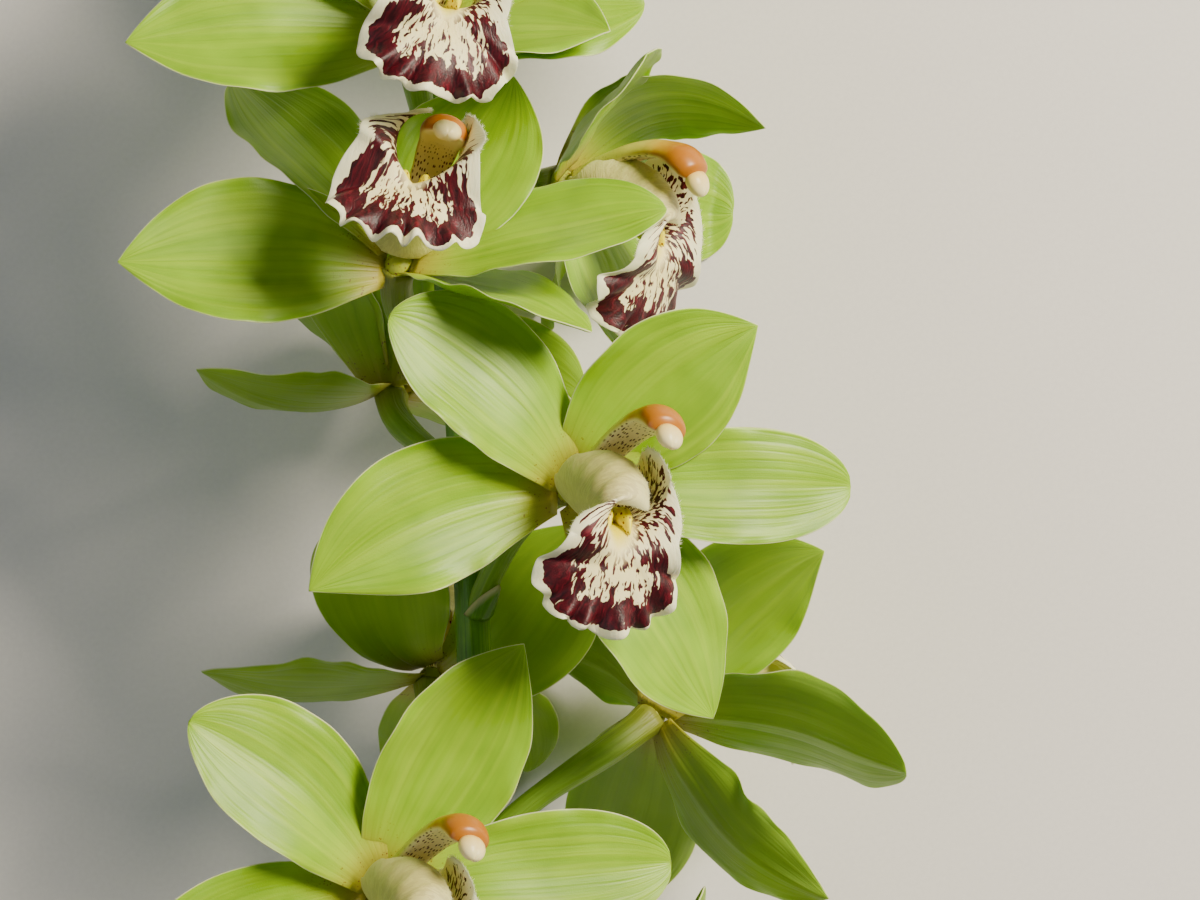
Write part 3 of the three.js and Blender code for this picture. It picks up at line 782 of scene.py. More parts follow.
def section(share, half, turn, ease):
    """Where a sheet that rolls up lies at a share of its half width: out and up."""
    out = 0
    up = 0
    for step in range(LIP_ROLL_STEPS):
        angle = turn * (1 - (1 - (step + 0.5) / LIP_ROLL_STEPS * share) ** ease)
        out += math.cos(angle)
        up += math.sin(angle)
    return out * share * half / LIP_ROLL_STEPS, up * share * half / LIP_ROLL_STEPS


def lip_sheet(bloom, axes, seed):
    """The lip: one sheet, rolled up into side lobes and down into the mid-lobe."""
    middle = middle_curve(bloom, axes, LIP_STATIONS)
    own = {"left": 1, "lean": LOBE_LEAN, **bloom.get("lip", {})}

    def surface(u, v):
        left = v < 0
        midlobe = smoothstep(u, *OPENING)
        side_lobe = smoothstep(u, *SIDE_RISE) * (1 - midlobe)
        along = tangent(middle, u)
        inside = (axes.up * (1 - midlobe) + along.cross(axes.side) * midlobe).normalized()
        front = clamp((u - FRONT_ROUND) / (1 - FRONT_ROUND))
        half = between(LIP_STATIONS, u, 2) * math.sqrt(1 - front ** 2)
        turn = between(LIP_STATIONS, u, 3 if left else 4)
        if left and turn > 0:
            turn *= own["left"]
        out, rise = section(abs(v), half, turn, lerp(LIP_ROLL_EASE, 1, midlobe))
        out *= -1 if left else 1
        arc = v * half

        around = math.atan2(arc, (u - FAN_FROM) * LIP_LENGTH)
        edge = max(abs(v), smoothstep(u, RUFFLES_FROM, 1)) ** RUFFLE_POWER * midlobe
        wander = noise.noise(Vector((2 * around, seed, 7)))
        phase = RUFFLES_ROUND * around + seed + RUFFLE_WANDER * wander
        height = RUFFLE * (1 + RUFFLE_UNEVEN * noise.noise(Vector((3 * around, seed, 0))))
        fold = FOLD * noise.noise(Vector((FOLDS_ROUND * around, seed, 3)))
        rise += edge * (height * math.sin(phase) + fold)
        push = SCALLOP * edge * math.cos(phase)

        pucker = noise.noise(Vector((arc / PUCKER_WIDTH, PUCKERS_ALONG * u, seed)))
        rise += PUCKER * pucker * side_lobe
        droop = DROOPS[0 if left else 1] * math.exp(-((u - DROOP_AT) / DROOP_SPAN) ** 2)
        forward = own["lean"] * abs(v) ** LEAN_POWER
        if left:
            swelling = smoothstep(u, *BELLY_RISE) * math.sin(math.pi * abs(v) ** BELLY_POWER)
            forward += LEFT_BELLY * swelling
        point = (
            middle(u)
            + axes.side * (out + push * math.sin(around))
            + inside * rise
            + along * (push * math.cos(around))
            - axes.up * (droop * abs(v) ** DROOP_POWER)
            + axes.facing * (side_lobe * forward)
        )
        margin = min(half - abs(arc), (1 - u) * LIP_LENGTH)
        marks = {"along": u * LIP_LENGTH, "lobe": midlobe, "margin": margin}
        return pressed(point, LIP_THICKNESS), half, marks

    return surface


def add_callus(bm, bloom, axes):
    """Two fleshy ridges along the middle of the lip, each with a blunt knob."""
    curve = middle_curve(bloom, axes, CALLUS_STATIONS)
    for way in (-1, 1):
        def ridge(t, way=way):
            return curve(t) + axes.side * (way * lerp(*CALLUS_SPREAD, t))

        def radii(t, angle):
            knob = CALLUS_KNOB * math.exp(-((t - KNOB_AT) / KNOB_SPAN) ** 2)
            thinner = CALLUS_THINS * smoothstep(t, CALLUS_THINS_FROM, 1)
            radius = CALLUS_RADIUS + knob - thinner
            radius *= math.sqrt(max(0, 1 - (2 * t - 1) ** 8))
            return radius, radius * CALLUS_HEIGHT

        add_tube(bm, CALLUS_GRID, ridge, axes.side, radii, CALLUS_LENGTH)


def add_hairs(bm, surface, chance):
    """Fine hairs on the edges of the side lobes, each a slim spike sunk in the edge."""
    for _ in range(HAIRS):
        u = chance.triangular(*HAIRS_ALONG)
        v = chance.choice((-1, 1))
        edge = surface(u, v)[0]
        outward = (edge - surface(u, INSIDE_EDGE * v)[0]).normalized()
        spread = Vector([chance.gauss(0, HAIR_SPREAD) for _ in range(3)])
        way = (outward + spread).normalized()
        length = HAIR_LENGTH * chance.uniform(*HAIR_LENGTHS)
        turn = way.to_track_quat("Z", "Y").to_matrix().to_4x4()
        place = Matrix.Translation(edge + way * (length / 2 - HAIR_SUNK)) @ turn
        made = bmesh.ops.create_cone(
            bm, cap_ends=True, cap_tris=True, segments=3,
            radius1=HAIR_RADIUS, radius2=0, depth=length, matrix=place,
        )
        for vert in made["verts"]:
            set_marks(bm, vert, (0, 0, 0), margin=0, back=0, lobe=0)


def make_lip(bloom, axes, name, number, chance):
    """A lip with the hairs on its edges and the two ridges of its callus."""
    bm = new_piece()
    surface = lip_sheet(bloom, axes, LIP_STEP * number)
    add_blade(bm, LIP_GRID, surface, LIP_FLESH, tint=chance.random())
    add_hairs(bm, surface, chance)
    flesh = set(bm.faces)
    add_callus(bm, bloom, axes)
    for face in bm.faces:
        face.material_index = 0 if face in flesh else 1
    node = f"{name}_lip"
    return finish_piece(bm, f"{node}_fine", [LIP_SKIN, CALLUS_SKIN], node)


# ------------------------------------------------------- column and its cap


def make_column(bloom, axes, name):
    """The column: an arched tube, hollowed below and rounded off over its cap."""
    curve = middle_curve(bloom, axes, COLUMN_STATIONS)
    bm = new_piece()

    def radii(t, angle):
        below = max(0, math.sin(angle))
        deeper = [share * smoothstep(t, start, full) for share, start, full in HOLLOW_MORE]
        hollow = 1 - sum(deeper, HOLLOW) * below ** HOLLOW_POWER
        rounded = math.sqrt(1 - smoothstep(t, *COLUMN_ROUNDS) ** 2)
        half = between(COLUMN_STATIONS, t, 2) * rounded
        return half, between(COLUMN_STATIONS, t, 3) * hollow * rounded

    add_tube(bm, COLUMN_GRID, curve, axes.side, radii, COLUMN_LENGTH)
    node = f"{name}_column"
    return finish_piece(bm, f"{node}_fine", [COLUMN_SKIN], node)


def make_cap(bloom, axes, name):
    """The anther cap: an egg under the column's tip, with a furrow down its end."""
    bm = new_piece()
    middle = Vector(bloom["hub"]) + axes.facing * CAP_PLACE[0] + axes.up * CAP_PLACE[1]
    tilt = Matrix.Rotation(math.radians(CAP_TILT), 3, axes.side)
    tilted = Axes(tilt @ axes.facing, tilt @ axes.up)

    def form(ring, height, angle):
        furrow = math.exp(-(math.cos(angle) / CAP_FURROW_WIDTH) ** 2) * (1 + height) / 2
        furrow *= CAP_FURROW
        return (
            ring * (1 - furrow) * (1 - CAP_TAPER * height),
            height * (1 - CAP_NOTCH * furrow),
        )

    add_egg(bm, CAP_GRID, middle, tilted, CAP_RADII, form)
    node = f"{name}_anther_cap"
    return finish_piece(bm, f"{node}_fine", [CAP_SKIN], node)


# -------------------------------------------------------------------- stem

spike = through(SPIKE)


def spike_radius(t):
    for (start, near), (end, far) in zip(SPIKE_RADII, SPIKE_RADII[1:]):
        if t <= end:
            return lerp(near, far, (t - start) / (end - start))
    return SPIKE_RADII[-1][1]


def leaving(joint, end):
    """The way that a stalk leaves the spike: towards its end, and up the spike."""
    return ((end - joint).normalized() + Vector((0, LEAVES_UPWARD, 0))).normalized()


def add_pedicel(bm, bloom, axes):
    """A flower stalk from the spike to its hub, where it swells to the ovary."""
    joint = Vector(bloom["joint"])
    end = Vector(bloom["hub"]) - axes.facing * HUB_BACK
    reach = (end - joint).length
    bend = PEDICEL_BEND * reach
    curve = bezier(joint, joint + leaving(joint, end) * bend, end - axes.facing * bend, end)

    def radii(t, angle):
        swelling = smoothstep(t, *OVARY_SPAN)
        radius = lerp(PEDICEL_RADIUS, OVARY_RADIUS, swelling)
        radius *= 1 + OVARY_RIB * swelling * math.cos(OVARY_RIBS * angle + OVARY_TWIST * t)
        radius *= 1 + SHOULDER * smoothstep(t, SHOULDER_FROM, 1)
        return radius, radius

    add_tube(bm, PEDICEL_GRID, curve, axes.side, radii, reach, lobe=1)


def bract_sheet(joint, toward):
    """A small pointed bract that clasps a stalk where it leaves the spike."""
    foot = Vector(joint)
    along = leaving(foot, Vector(toward))
    away = square_to(Vector((0, -1, 0)), along)
    across = along.cross(away)

    def surface(u, v):
        angle = BRACT_WRAP * v * (1 - BRACT_UNWRAP * u)
        radius = PEDICEL_RADIUS + BRACT_STANDS[0] + BRACT_STANDS[1] * u * u
        width = math.sin(angle) * radius * (1 - BRACT_NARROWS * u ** 2) * (1 - u ** 6)
        point = (
            foot
            + along * lerp(BRACT_START, BRACT_LENGTH, u)
            + across * width
            + away * (math.cos(angle) * radius)
        )
        return point, BRACT_HALF[1] * (1 - u) + BRACT_HALF[0], {"along": u * BRACT_LENGTH}

    return surface


def sheath_sheet(foot, tip, spread, turn):
    """A sheath that wraps the bare stem and stands off it at its pointed tip."""
    side = Vector((1, 0, 0))

    def surface(u, v):
        t = lerp(foot, tip, u)
        along = -tangent(spike, t)
        first = square_to(side, along)
        second = along.cross(first)
        angle = turn + v * spread * (1 - SHEATH_UNWRAP * u ** 2)
        radius = SHEATH_SUNK * spike_radius(t) + SHEATH_STANDS[0] + SHEATH_STANDS[1] * u ** 3
        point = spike(t) - first * (math.cos(angle) * radius) + second * (math.sin(angle) * radius)
        return point, spread * radius, {"along": u * SHEATH_LENGTH}

    return surface


def add_bud_stalk(bm, bud):
    foot = Vector(bud["foot"])
    end = Vector(bud["end"])
    leave, arrive = BUD_STALK_BENDS
    curve = bezier(foot, foot + Vector((0, leave, 0)), end - bud_axes(bud).facing * arrive, end)

    def radii(t, angle):
        return BUD_STALK_RADIUS, BUD_STALK_RADIUS

    add_tube(bm, BUD_STALK_GRID, curve, Vector((0, 0, 1)), radii, BUD_STALK_LENGTH, lobe=1)


def make_stem():
    """The spike, with every stalk, bract and sheath that grows out of it."""
    bm = new_piece()

    def radii(t, angle):
        radius = spike_radius(t) * (1 + SPIKE_RIB * math.cos(SPIKE_RIBS * angle))
        return radius, radius

    add_tube(bm, SPIKE_GRID, spike, Vector((1, 0, 0)), radii, SPIKE_LENGTH)
    for bloom in BLOOMS:
        add_pedicel(bm, bloom, bloom_axes(bloom))
        add_blade(bm, BRACT_GRID, bract_sheet(bloom["joint"], bloom["hub"]), BRACT_THICKNESS)
    for bud in BUDS:
        add_bud_stalk(bm, bud)
    for sheath in SHEATHS:
        add_blade(bm, SHEATH_GRID, sheath_sheet(*sheath), SHEATH_THICKNESS)
    return finish_piece(bm, "stem_fine", [STEM_SKIN], "stem")


def make_bud(number, bud):
    """A closed bud: an egg with a seam along each edge of its three sepals."""
    bm = new_piece()

    def form(ring, height, angle):
        seam = 1 - BUD_SEAM * math.exp(-(math.sin(1.5 * angle) / BUD_SEAM_WIDTH) ** 2)
        return ring ** BUD_BLUNT * seam * (1 - BUD_TAPER * height), height

    radii = (bud["radius"], bud["radius"], bud["length"] / 2)
    add_egg(bm, BUD_GRID, bud_middle(bud), bud_axes(bud), radii, form)
    node = f"bud_{number}"
    return finish_piece(bm, f"{node}_fine", [BUD_SKIN], node)


# --------------------------------------------------------------- materials


def linear(code):
    """An sRGB hex colour as linear numbers."""
    parts = [int(code[i:i + 2], 16) / 255 for i in (1, 3, 5)]
    return (*[p / 12.92 if p <= 0.04045 else ((p + 0.055) / 1.055) ** 2.4 for p in parts], 1)


def level(value):
    """A plain grey for a ramp that gives a number and not a colour."""
    return (value, value, value, 1)


def add(tree, kind, inputs=None, out=None, stops=None, **settings):
    """Add a node with its settings, and hand back one of its outputs.

    An input goes by its name or its place, and is a value or a node's output.
    """
    made = tree.nodes.new(f"ShaderNode{kind}")
    for name, value in settings.items():
        setattr(made, name, value)
    for name, value in (inputs or {}).items():
        usable = [socket for socket in made.inputs if socket.enabled]
        socket = usable[name] if isinstance(name, int) else next(
            one for one in usable if one.name == name
        )
        if isinstance(value, bpy.types.NodeSocket):
            tree.links.new(value, socket)
        else:
            socket.default_value = value
    if stops:
        elements = made.color_ramp.elements
        while len(elements) < len(stops):
            elements.new(0.5)
        for element, (position, color) in zip(elements, stops):
            element.position = position
            element.color = color
    outputs = [socket for socket in made.outputs if socket.enabled]
    return next((one for one in outputs if one.name == out), outputs[0])


def new_skin(name, roughness, ior, subsurface, radius):
    """A material with its shader's even settings: gloss, and light let through.

    radius is how far it lets red, green and blue light through, in millimetres.
    """
    skin = bpy.data.materials.new(name)
    skin.use_nodes = True
    tree = skin.node_tree
    shader = tree.nodes["Principled BSDF"]
    shader.inputs["Roughness"].default_value = roughness
    shader.inputs["IOR"].default_value = ior
    shader.inputs["Subsurface Weight"].default_value = subsurface
    shader.inputs["Subsurface Radius"].default_value = radius
    shader.inputs["Subsurface Scale"].default_value = MM
    return skin, tree, shader


def tepal_skin():
    """Tepal flesh: a thin waxy leaf, satin on its face, that lets some light through.

    Parallel veins run from foot to tip and close up there. The rim is pale where
    the flesh thins out, and the foot is yellower, with a blush and fine specks.
    """
    skin, tree, shader = new_skin(
        "waxy_tepal_flesh", roughness=0.42, ior=1.42, subsurface=0.35, radius=(0.9, 1.1, 0.3),
    )
    lay = add(tree, "Attribute", attribute_name="lay", out="Vector")
    across, run, margin, back, tint = [
        add(tree, "Attribute", attribute_name=mark, out="Fac")
        for mark in ("across", "run", "margin", "back", "tint")
    ]
    apart = add(tree, "Math", {0: tint, 1: TEPALS_APART}, operation="MULTIPLY")
    fan = add(tree, "CombineXYZ", {0: across, 1: run, 2: apart})

    # Veins lie at even shares of the width, TEPAL_VEINS to each side of the midrib.
    wander = add(tree, "TexNoise", {"Vector": fan, "Scale": 2.5, "Detail": 1.0}, out="Fac")
    drift = add(tree, "Math", {0: wander, 1: 0.12, 2: across}, operation="MULTIPLY_ADD")
    lanes = add(tree, "Math", {0: drift, 1: TEPAL_VEINS}, operation="MULTIPLY")
    lane = add(tree, "Math", {0: lanes, 1: 0.5}, operation="PINGPONG")
    vein = add(tree, "MapRange", {0: lane, 1: 0.0, 2: 0.24, 3: 1.0, 4: 0.0},
               interpolation_type="SMOOTHSTEP")
    faint = add(tree, "MapRange", {0: wander, 1: 0.35, 2: 0.7, 3: 0.25, 4: 1.0})
    vein = add(tree, "Math", {0: vein, 1: faint}, operation="MULTIPLY")
    vein_shade = add(tree, "Math", {0: vein, 1: 0.22}, operation="MULTIPLY")

    # Soft streaks between the veins, about 2 mm wide and 50 mm long.
    stretched = add(tree, "Mapping", {"Vector": fan, "Scale": (5.5, 0.9, 1.0)})
    streaks = add(tree, "TexNoise", {"Vector": stretched, "Scale": 1.3, "Detail": 2.5}, out="Fac")
    light = add(tree, "MapRange", {0: streaks, 1: 0.42, 2: 0.72, 3: 0.0, 4: 0.38})

    # The foot is yellower, with a pinkish-brown blush close to the hub.
    foot = add(tree, "MapRange", {0: run, 1: 0.02, 2: 0.28, 3: 0.75, 4: 0.0})
    blush = add(tree, "MapRange", {0: run, 1: 0.04, 2: 0.17, 3: 0.5, 4: 0.0})

    # Specks of 0.3 mm, in loose clusters, die out over the first quarter of the length.
    cells = add(tree, "TexVoronoi", {"Vector": lay, "Scale": 1.5}, out="Distance")
    dots = add(tree, "MapRange", {0: cells, 1: 0.2, 2: 0.32, 3: 1.0, 4: 0.0})
    cluster = add(tree, "TexNoise", {"Vector": lay, "Scale": 0.3, "Detail": 1.0}, out="Fac")
    clustered = add(tree, "MapRange", {0: cluster, 1: 0.5, 2: 0.62})
    near = add(tree, "MapRange", {0: run, 1: 0.1, 2: 0.24, 3: 1.0, 4: 0.0})
    dots = add(tree, "Math", {0: dots, 1: clustered}, operation="MULTIPLY")
    dots = add(tree, "Math", {0: dots, 1: near}, operation="MULTIPLY")

    # The outer quarter of a millimetre is pale, except at the foot.
    rim = add(tree, "MapRange", {0: margin, 1: 0.03, 2: 0.28, 3: 0.6, 4: 0.0})
    past_foot = add(tree, "MapRange", {0: run, 1: 0.08, 2: 0.22})
    rim = add(tree, "Math", {0: rim, 1: past_foot}, operation="MULTIPLY")

    # The colours in their order, over a green with patches of about 14 mm.
    dull = add(tree, "Math", {0: back, 1: 0.45}, operation="MULTIPLY")
    patches = add(tree, "TexNoise", {"Vector": lay, "Scale": 0.07, "Detail": 2.0}, out="Fac")
    green = add(tree, "ValToRGB", {"Fac": patches}, stops=[
        (0.3, linear("#76a203")), (0.7, linear("#90bd0a")),
    ])
    for share, code in (
        (light, "#b6d530"), (vein_shade, "#5f8a06"), (dull, "#8fae30"), (foot, "#b4c232"),
        (blush, "#a5793a"), (dots, "#6a2616"), (rim, "#ece6c6"),
    ):
        green = add(tree, "Mix", {"Factor": share, "A": green, "B": linear(code)}, data_type="RGBA")
    tree.links.new(green, shader.inputs["Base Color"])

    # Relief: veins a little sunk, soft ribs, and cells of 0.3 mm.
    grain = add(tree, "TexNoise", {"Vector": lay, "Scale": 3.5, "Detail": 2.0}, out="Fac")
    relief = add(tree, "Math", {0: grain, 1: 0.12, 2: streaks}, operation="MULTIPLY_ADD")
    relief = add(tree, "Math", {0: vein, 1: -0.2, 2: relief}, operation="MULTIPLY_ADD")
    bump = add(tree, "Bump", {"Height": relief, "Strength": 0.35, "Distance": 0.0006})
    tree.links.new(bump, shader.inputs["Normal"])
    return skin


def lip_skin():
    """Lip flesh: cream, thin and satin, with maroon streaks that fan out of its throat.

    On the mid-lobe the streaks run together into a band short of the pale rim.
    On the side lobes they stay dashes inside, and only tinge the outside.
    """
    skin, tree, shader = new_skin(
        "satin_lip_flesh", roughness=0.45, ior=1.4, subsurface=0.3, radius=(1.2, 0.9, 0.6),
    )
    lay = add(tree, "Attribute", attribute_name="lay", out="Vector")
    run, margin, back, lobe, tint = [
        add(tree, "Attribute", attribute_name=mark, out="Fac")
        for mark in ("run", "margin", "back", "lobe", "tint")
    ]

    # Polar coordinates round the throat, bent by blotches of about 2 mm: how far
    # round, and how far out.
    out_way = add(tree, "VectorMath", {0: lay, 1: (0, THROAT_ALONG, 0)}, operation="SUBTRACT")
    sideways = add(tree, "SeparateXYZ", {0: out_way}, out="X")
    forward = sideways.node.outputs["Y"]
    round_throat = add(tree, "Math", {0: sideways, 1: forward}, operation="ARCTAN2")
    reach = add(tree, "VectorMath", {0: out_way}, operation="LENGTH")
    apart = add(tree, "Math", {0: tint, 1: LIPS_APART}, operation="MULTIPLY")
    shaped = add(tree, "TexNoise", {"Vector": lay, "Scale": 0.45, "Detail": 2.0}, out="Fac")
    bent = add(tree, "Math", {0: shaped, 1: 0.1, 2: round_throat}, operation="MULTIPLY_ADD")
    fan = add(tree, "CombineXYZ", {0: bent, 1: reach, 2: apart})

    # Streaks are about 5 mm long, and dashes 2 mm.
    stretched = add(tree, "Mapping", {"Vector": fan, "Scale": (STREAKS_ROUND, 0.2, 1.0)})
    streaks = add(
        tree, "TexNoise", {"Vector": stretched, "Scale": 1.0, "Detail": 2.0, "Roughness": 0.6},
        out="Fac",
    )
    dashed = add(tree, "Mapping", {"Vector": fan, "Scale": (DASHES_ROUND, 0.45, 1.0)})
    dashes = add(
        tree, "TexNoise", {"Vector": dashed, "Scale": 1.0, "Detail": 1.5, "Roughness": 0.5},
        out="Fac",
    )

    # How high the noise has to stand to be maroon, at each distance from the
    # edge up to EDGE_SPAN: none on the rim, nearly all in a band from 2 to 6 mm
    # in, then less.
    uneven = add(tree, "Math", {0: shaped, 1: 3.0, 2: margin}, operation="MULTIPLY_ADD")
    inward = add(tree, "Math", {0: uneven, 1: EDGE_SPAN}, operation="DIVIDE")
    band_bar = add(tree, "ValToRGB", {"Fac": inward}, stops=[
        (0.19, level(0.85)), (0.24, level(0.28)), (0.44, level(0.27)), (0.54, level(0.49)),
        (0.7, level(0.56)), (1.0, level(0.62)),
    ])
    side_bar = add(tree, "ValToRGB", {"Fac": inward}, stops=[
        (0.13, level(0.85)), (0.19, level(0.56)), (0.35, level(0.5)), (0.7, level(0.47)),
        (1.0, level(0.46)),
    ])
    disc_bar = add(tree, "ValToRGB", {"Fac": inward}, stops=[
        (0.3, level(0.85)), (0.42, level(0.6)), (0.7, level(0.575)), (1.0, level(0.6)),
    ])
    band_mask = add(tree, "Math", {0: streaks, 1: band_bar}, operation="SUBTRACT")
    disc_mask = add(tree, "Math", {0: dashes, 1: disc_bar}, operation="SUBTRACT")
    band_mask = add(tree, "Math", {0: band_mask, 1: disc_mask}, operation="MAXIMUM")
    side_mask = add(tree, "Math", {0: dashes, 1: side_bar}, operation="SUBTRACT")
    mask = add(tree, "Mix", {"Factor": lobe, "A": side_mask, "B": band_mask}, data_type="FLOAT")
    mask = add(tree, "MapRange", {0: mask, 1: 0.0, 2: 0.03}, interpolation_type="SMOOTHSTEP")

    # The throat between the ridges is free of maroon, and yellow.
    squeezed = add(tree, "VectorMath", {0: lay, 1: (1, YELLOW_SQUEEZE, 0)}, operation="MULTIPLY")
    off = add(
        tree, "VectorMath", {0: squeezed, 1: (0, YELLOW_SQUEEZE * YELLOW_ALONG, 0)},
        operation="DISTANCE", out="Value",
    )
    yellow = add(tree, "MapRange", {0: off, 1: 2.0, 2: 4.6, 3: 1.0, 4: 0.0},
                 interpolation_type="SMOOTHSTEP")
    bare = add(tree, "MapRange", {0: off, 1: 4.0, 2: 5.5})

    # The outside shows only a tinge of the markings, most by its front corners.
    tinge = add(tree, "MapRange", {0: run, 1: 0.42, 2: 0.56, 3: 0.88, 4: 0.8})
    hidden = add(tree, "Math", {0: back, 1: tinge}, operation="MULTIPLY")
    shown = add(tree, "Math", {0: 1.0, 1: hidden}, operation="SUBTRACT")
    for part in (bare, shown):
        mask = add(tree, "Math", {0: mask, 1: part}, operation="MULTIPLY")

    # The outside of the side lobes is greener than the cream of the rest.
    greener = add(tree, "MapRange", {0: run, 1: 0.45, 2: 0.65, 3: 0.85, 4: 0.2})
    outside = add(tree, "Math", {0: back, 1: greener}, operation="MULTIPLY")
    cream = add(tree, "ValToRGB", {"Fac": inward}, stops=[
        (0.1, linear("#f2f2c8")), (0.35, linear("#f8f0c2")), (0.9, linear("#f4e8a6")),
    ])
    for share, code in ((yellow, "#e8da10"), (outside, "#bdb964")):
        cream = add(tree, "Mix", {"Factor": share, "A": cream, "B": linear(code)}, data_type="RGBA")
    depth = add(tree, "TexNoise", {"Vector": stretched, "Scale": 2.3, "Detail": 3.0}, out="Fac")
    maroon = add(tree, "ValToRGB", {"Fac": depth}, stops=[
        (0.35, linear("#26040a")), (0.6, linear("#500a16")), (0.75, linear("#741424")),
    ])
    color = add(tree, "Mix", {"Factor": mask, "A": cream, "B": maroon}, data_type="RGBA")
    tree.links.new(color, shader.inputs["Base Color"])

    # Relief: the streaks' own, and a grain of 0.3 mm.
    grain = add(tree, "TexNoise", {"Vector": lay, "Scale": 3.0, "Detail": 2.0}, out="Fac")
    relief = add(tree, "Math", {0: grain, 1: 0.35, 2: depth}, operation="MULTIPLY_ADD")
    bump = add(tree, "Bump", {"Height": relief, "Strength": 0.4, "Distance": 0.0004})
    tree.links.new(bump, shader.inputs["Normal"])
    return skin


def callus_skin():
    """Callus flesh: bright yellow and waxy, with dark red dots of 0.6 mm."""
    skin, tree, shader = new_skin(
        "waxy_callus_flesh", roughness=0.38, ior=1.42, subsurface=0.3, radius=(1.0, 0.7, 0.2),
    )
    lay = add(tree, "Attribute", attribute_name="lay", out="Vector")
    run = add(tree, "Attribute", attribute_name="run", out="Fac")
    yellow = add(tree, "ValToRGB", {"Fac": run}, stops=[
        (0.1, linear("#f0ea80")), (0.45, linear("#efe61c")), (0.9, linear("#f0e400")),
    ])
    cells = add(tree, "TexVoronoi", {"Vector": lay, "Scale": 0.8}, out="Distance")
    dots = add(tree, "MapRange", {0: cells, 1: 0.2, 2: 0.27, 3: 1.0, 4: 0.0})
    color = add(tree, "Mix", {"Factor": dots, "A": yellow, "B": linear("#71160f")},
                data_type="RGBA")
    tree.links.new(color, shader.inputs["Base Color"])
    return skin


def column_skin():
    """Column flesh: waxy, cream at the foot and peach-orange over the hood.

    Its hollow underside is cream with rows of short dark dashes. The cream is partly
    its own colour and partly painted light, brighter to stand in for light let
    through where the underside lies in shade.
    """
    skin, tree, shader = new_skin(
        "waxy_column_flesh", roughness=0.36, ior=1.44, subsurface=0.14, radius=(0.7, 0.6, 0.3),
    )
    lay = add(tree, "Attribute", attribute_name="lay", out="Vector")
    run, below = [
        add(tree, "Attribute", attribute_name=mark, out="Fac") for mark in ("run", "across")
    ]
    # The underside: its own cream, made brighter as painted light let through its shaded flesh.
    under = add(tree, "MapRange", {0: below, 1: 0.1, 2: 0.5})

    # An orange rim along each side of the front half.
    off_rim = add(tree, "Math", {0: below, 1: 0.12}, operation="SUBTRACT")
    off_rim = add(tree, "Math", {0: off_rim}, operation="ABSOLUTE")
    rim = add(tree, "MapRange", {0: off_rim, 1: 0.05, 2: 0.3, 3: 0.7, 4: 0.0})
    forward = add(tree, "MapRange", {0: run, 1: 0.35, 2: 0.6})
    rim = add(tree, "Math", {0: rim, 1: forward}, operation="MULTIPLY")

    # Dashes 0.9 mm long and 0.3 mm wide, in rows along the hollow.
    rows = add(tree, "Mapping", {"Vector": lay, "Scale": (1.7, 0.58, 0.2)})
    cells = add(tree, "TexVoronoi", {"Vector": rows, "Scale": 1.0, "Randomness": 0.6},
                out="Distance")
    dashes = add(tree, "MapRange", {0: cells, 1: 0.24, 2: 0.31, 3: 1.0, 4: 0.0})
    where = add(tree, "MapRange", {0: run, 1: 0.55, 2: 0.72, 3: 1.0, 4: 0.0})
    for part in (where, under):
        dashes = add(tree, "Math", {0: dashes, 1: part}, operation="MULTIPLY")

    # A few grey-mauve freckles of 0.4 mm on the back, close to the foot.
    freckles = add(tree, "TexVoronoi", {"Vector": lay, "Scale": 1.3}, out="Distance")
    freckles = add(tree, "MapRange", {0: freckles, 1: 0.2, 2: 0.35, 3: 0.6, 4: 0.0})
    low_down = add(tree, "MapRange", {0: run, 1: 0.15, 2: 0.42, 3: 1.0, 4: 0.0})
    freckles = add(tree, "Math", {0: freckles, 1: low_down}, operation="MULTIPLY")

    # The colours in their order, from the foot to the hood with a mottle of 2.5 mm.
    mottle = add(tree, "TexNoise", {"Vector": lay, "Scale": 0.4, "Detail": 2.0}, out="Fac")
    shifted = add(tree, "Math", {0: mottle, 1: 0.12, 2: run}, operation="MULTIPLY_ADD")
    color = add(tree, "ValToRGB", {"Fac": shifted}, stops=[
        (0.1, linear("#cbcf5c")), (0.56, linear("#e3d65c")), (0.68, linear("#cda22c")),
        (0.82, linear("#ad6a10")),
    ])
    for share, code in (
        # the underside's cream is partly painted light, brighter than its own colour
        (under, "#fae8a0"), (rim, "#b96c12"), (dashes, "#54131b"), (freckles, "#84706a"),
    ):
        color = add(tree, "Mix", {"Factor": share, "A": color, "B": linear(code)}, data_type="RGBA")
    tree.links.new(color, shader.inputs["Base Color"])
    return skin


def cap_skin():
    """Anther cap: ivory and smooth, darker and more orange where it joins the hood, partly its own
    warmer tone and partly painted shade under the hood.
    """
    skin, tree, shader = new_skin(
        "ivory_anther_cap", roughness=0.36, ior=1.44, subsurface=0.35, radius=(1.2, 1.0, 0.7),
    )
    run = add(tree, "Attribute", attribute_name="run", out="Fac")
    # Darker orange at the end under the hood: partly the cap's warmer tone, partly painted shade
    # from the hood.
    color = add(tree, "ValToRGB", {"Fac": run}, stops=[
        (0.15, linear("#dca040")), (0.4, linear("#ecd07a")), (0.75, linear("#f3e6aa")),
    ])
    tree.links.new(color, shader.inputs["Base Color"])
    return skin


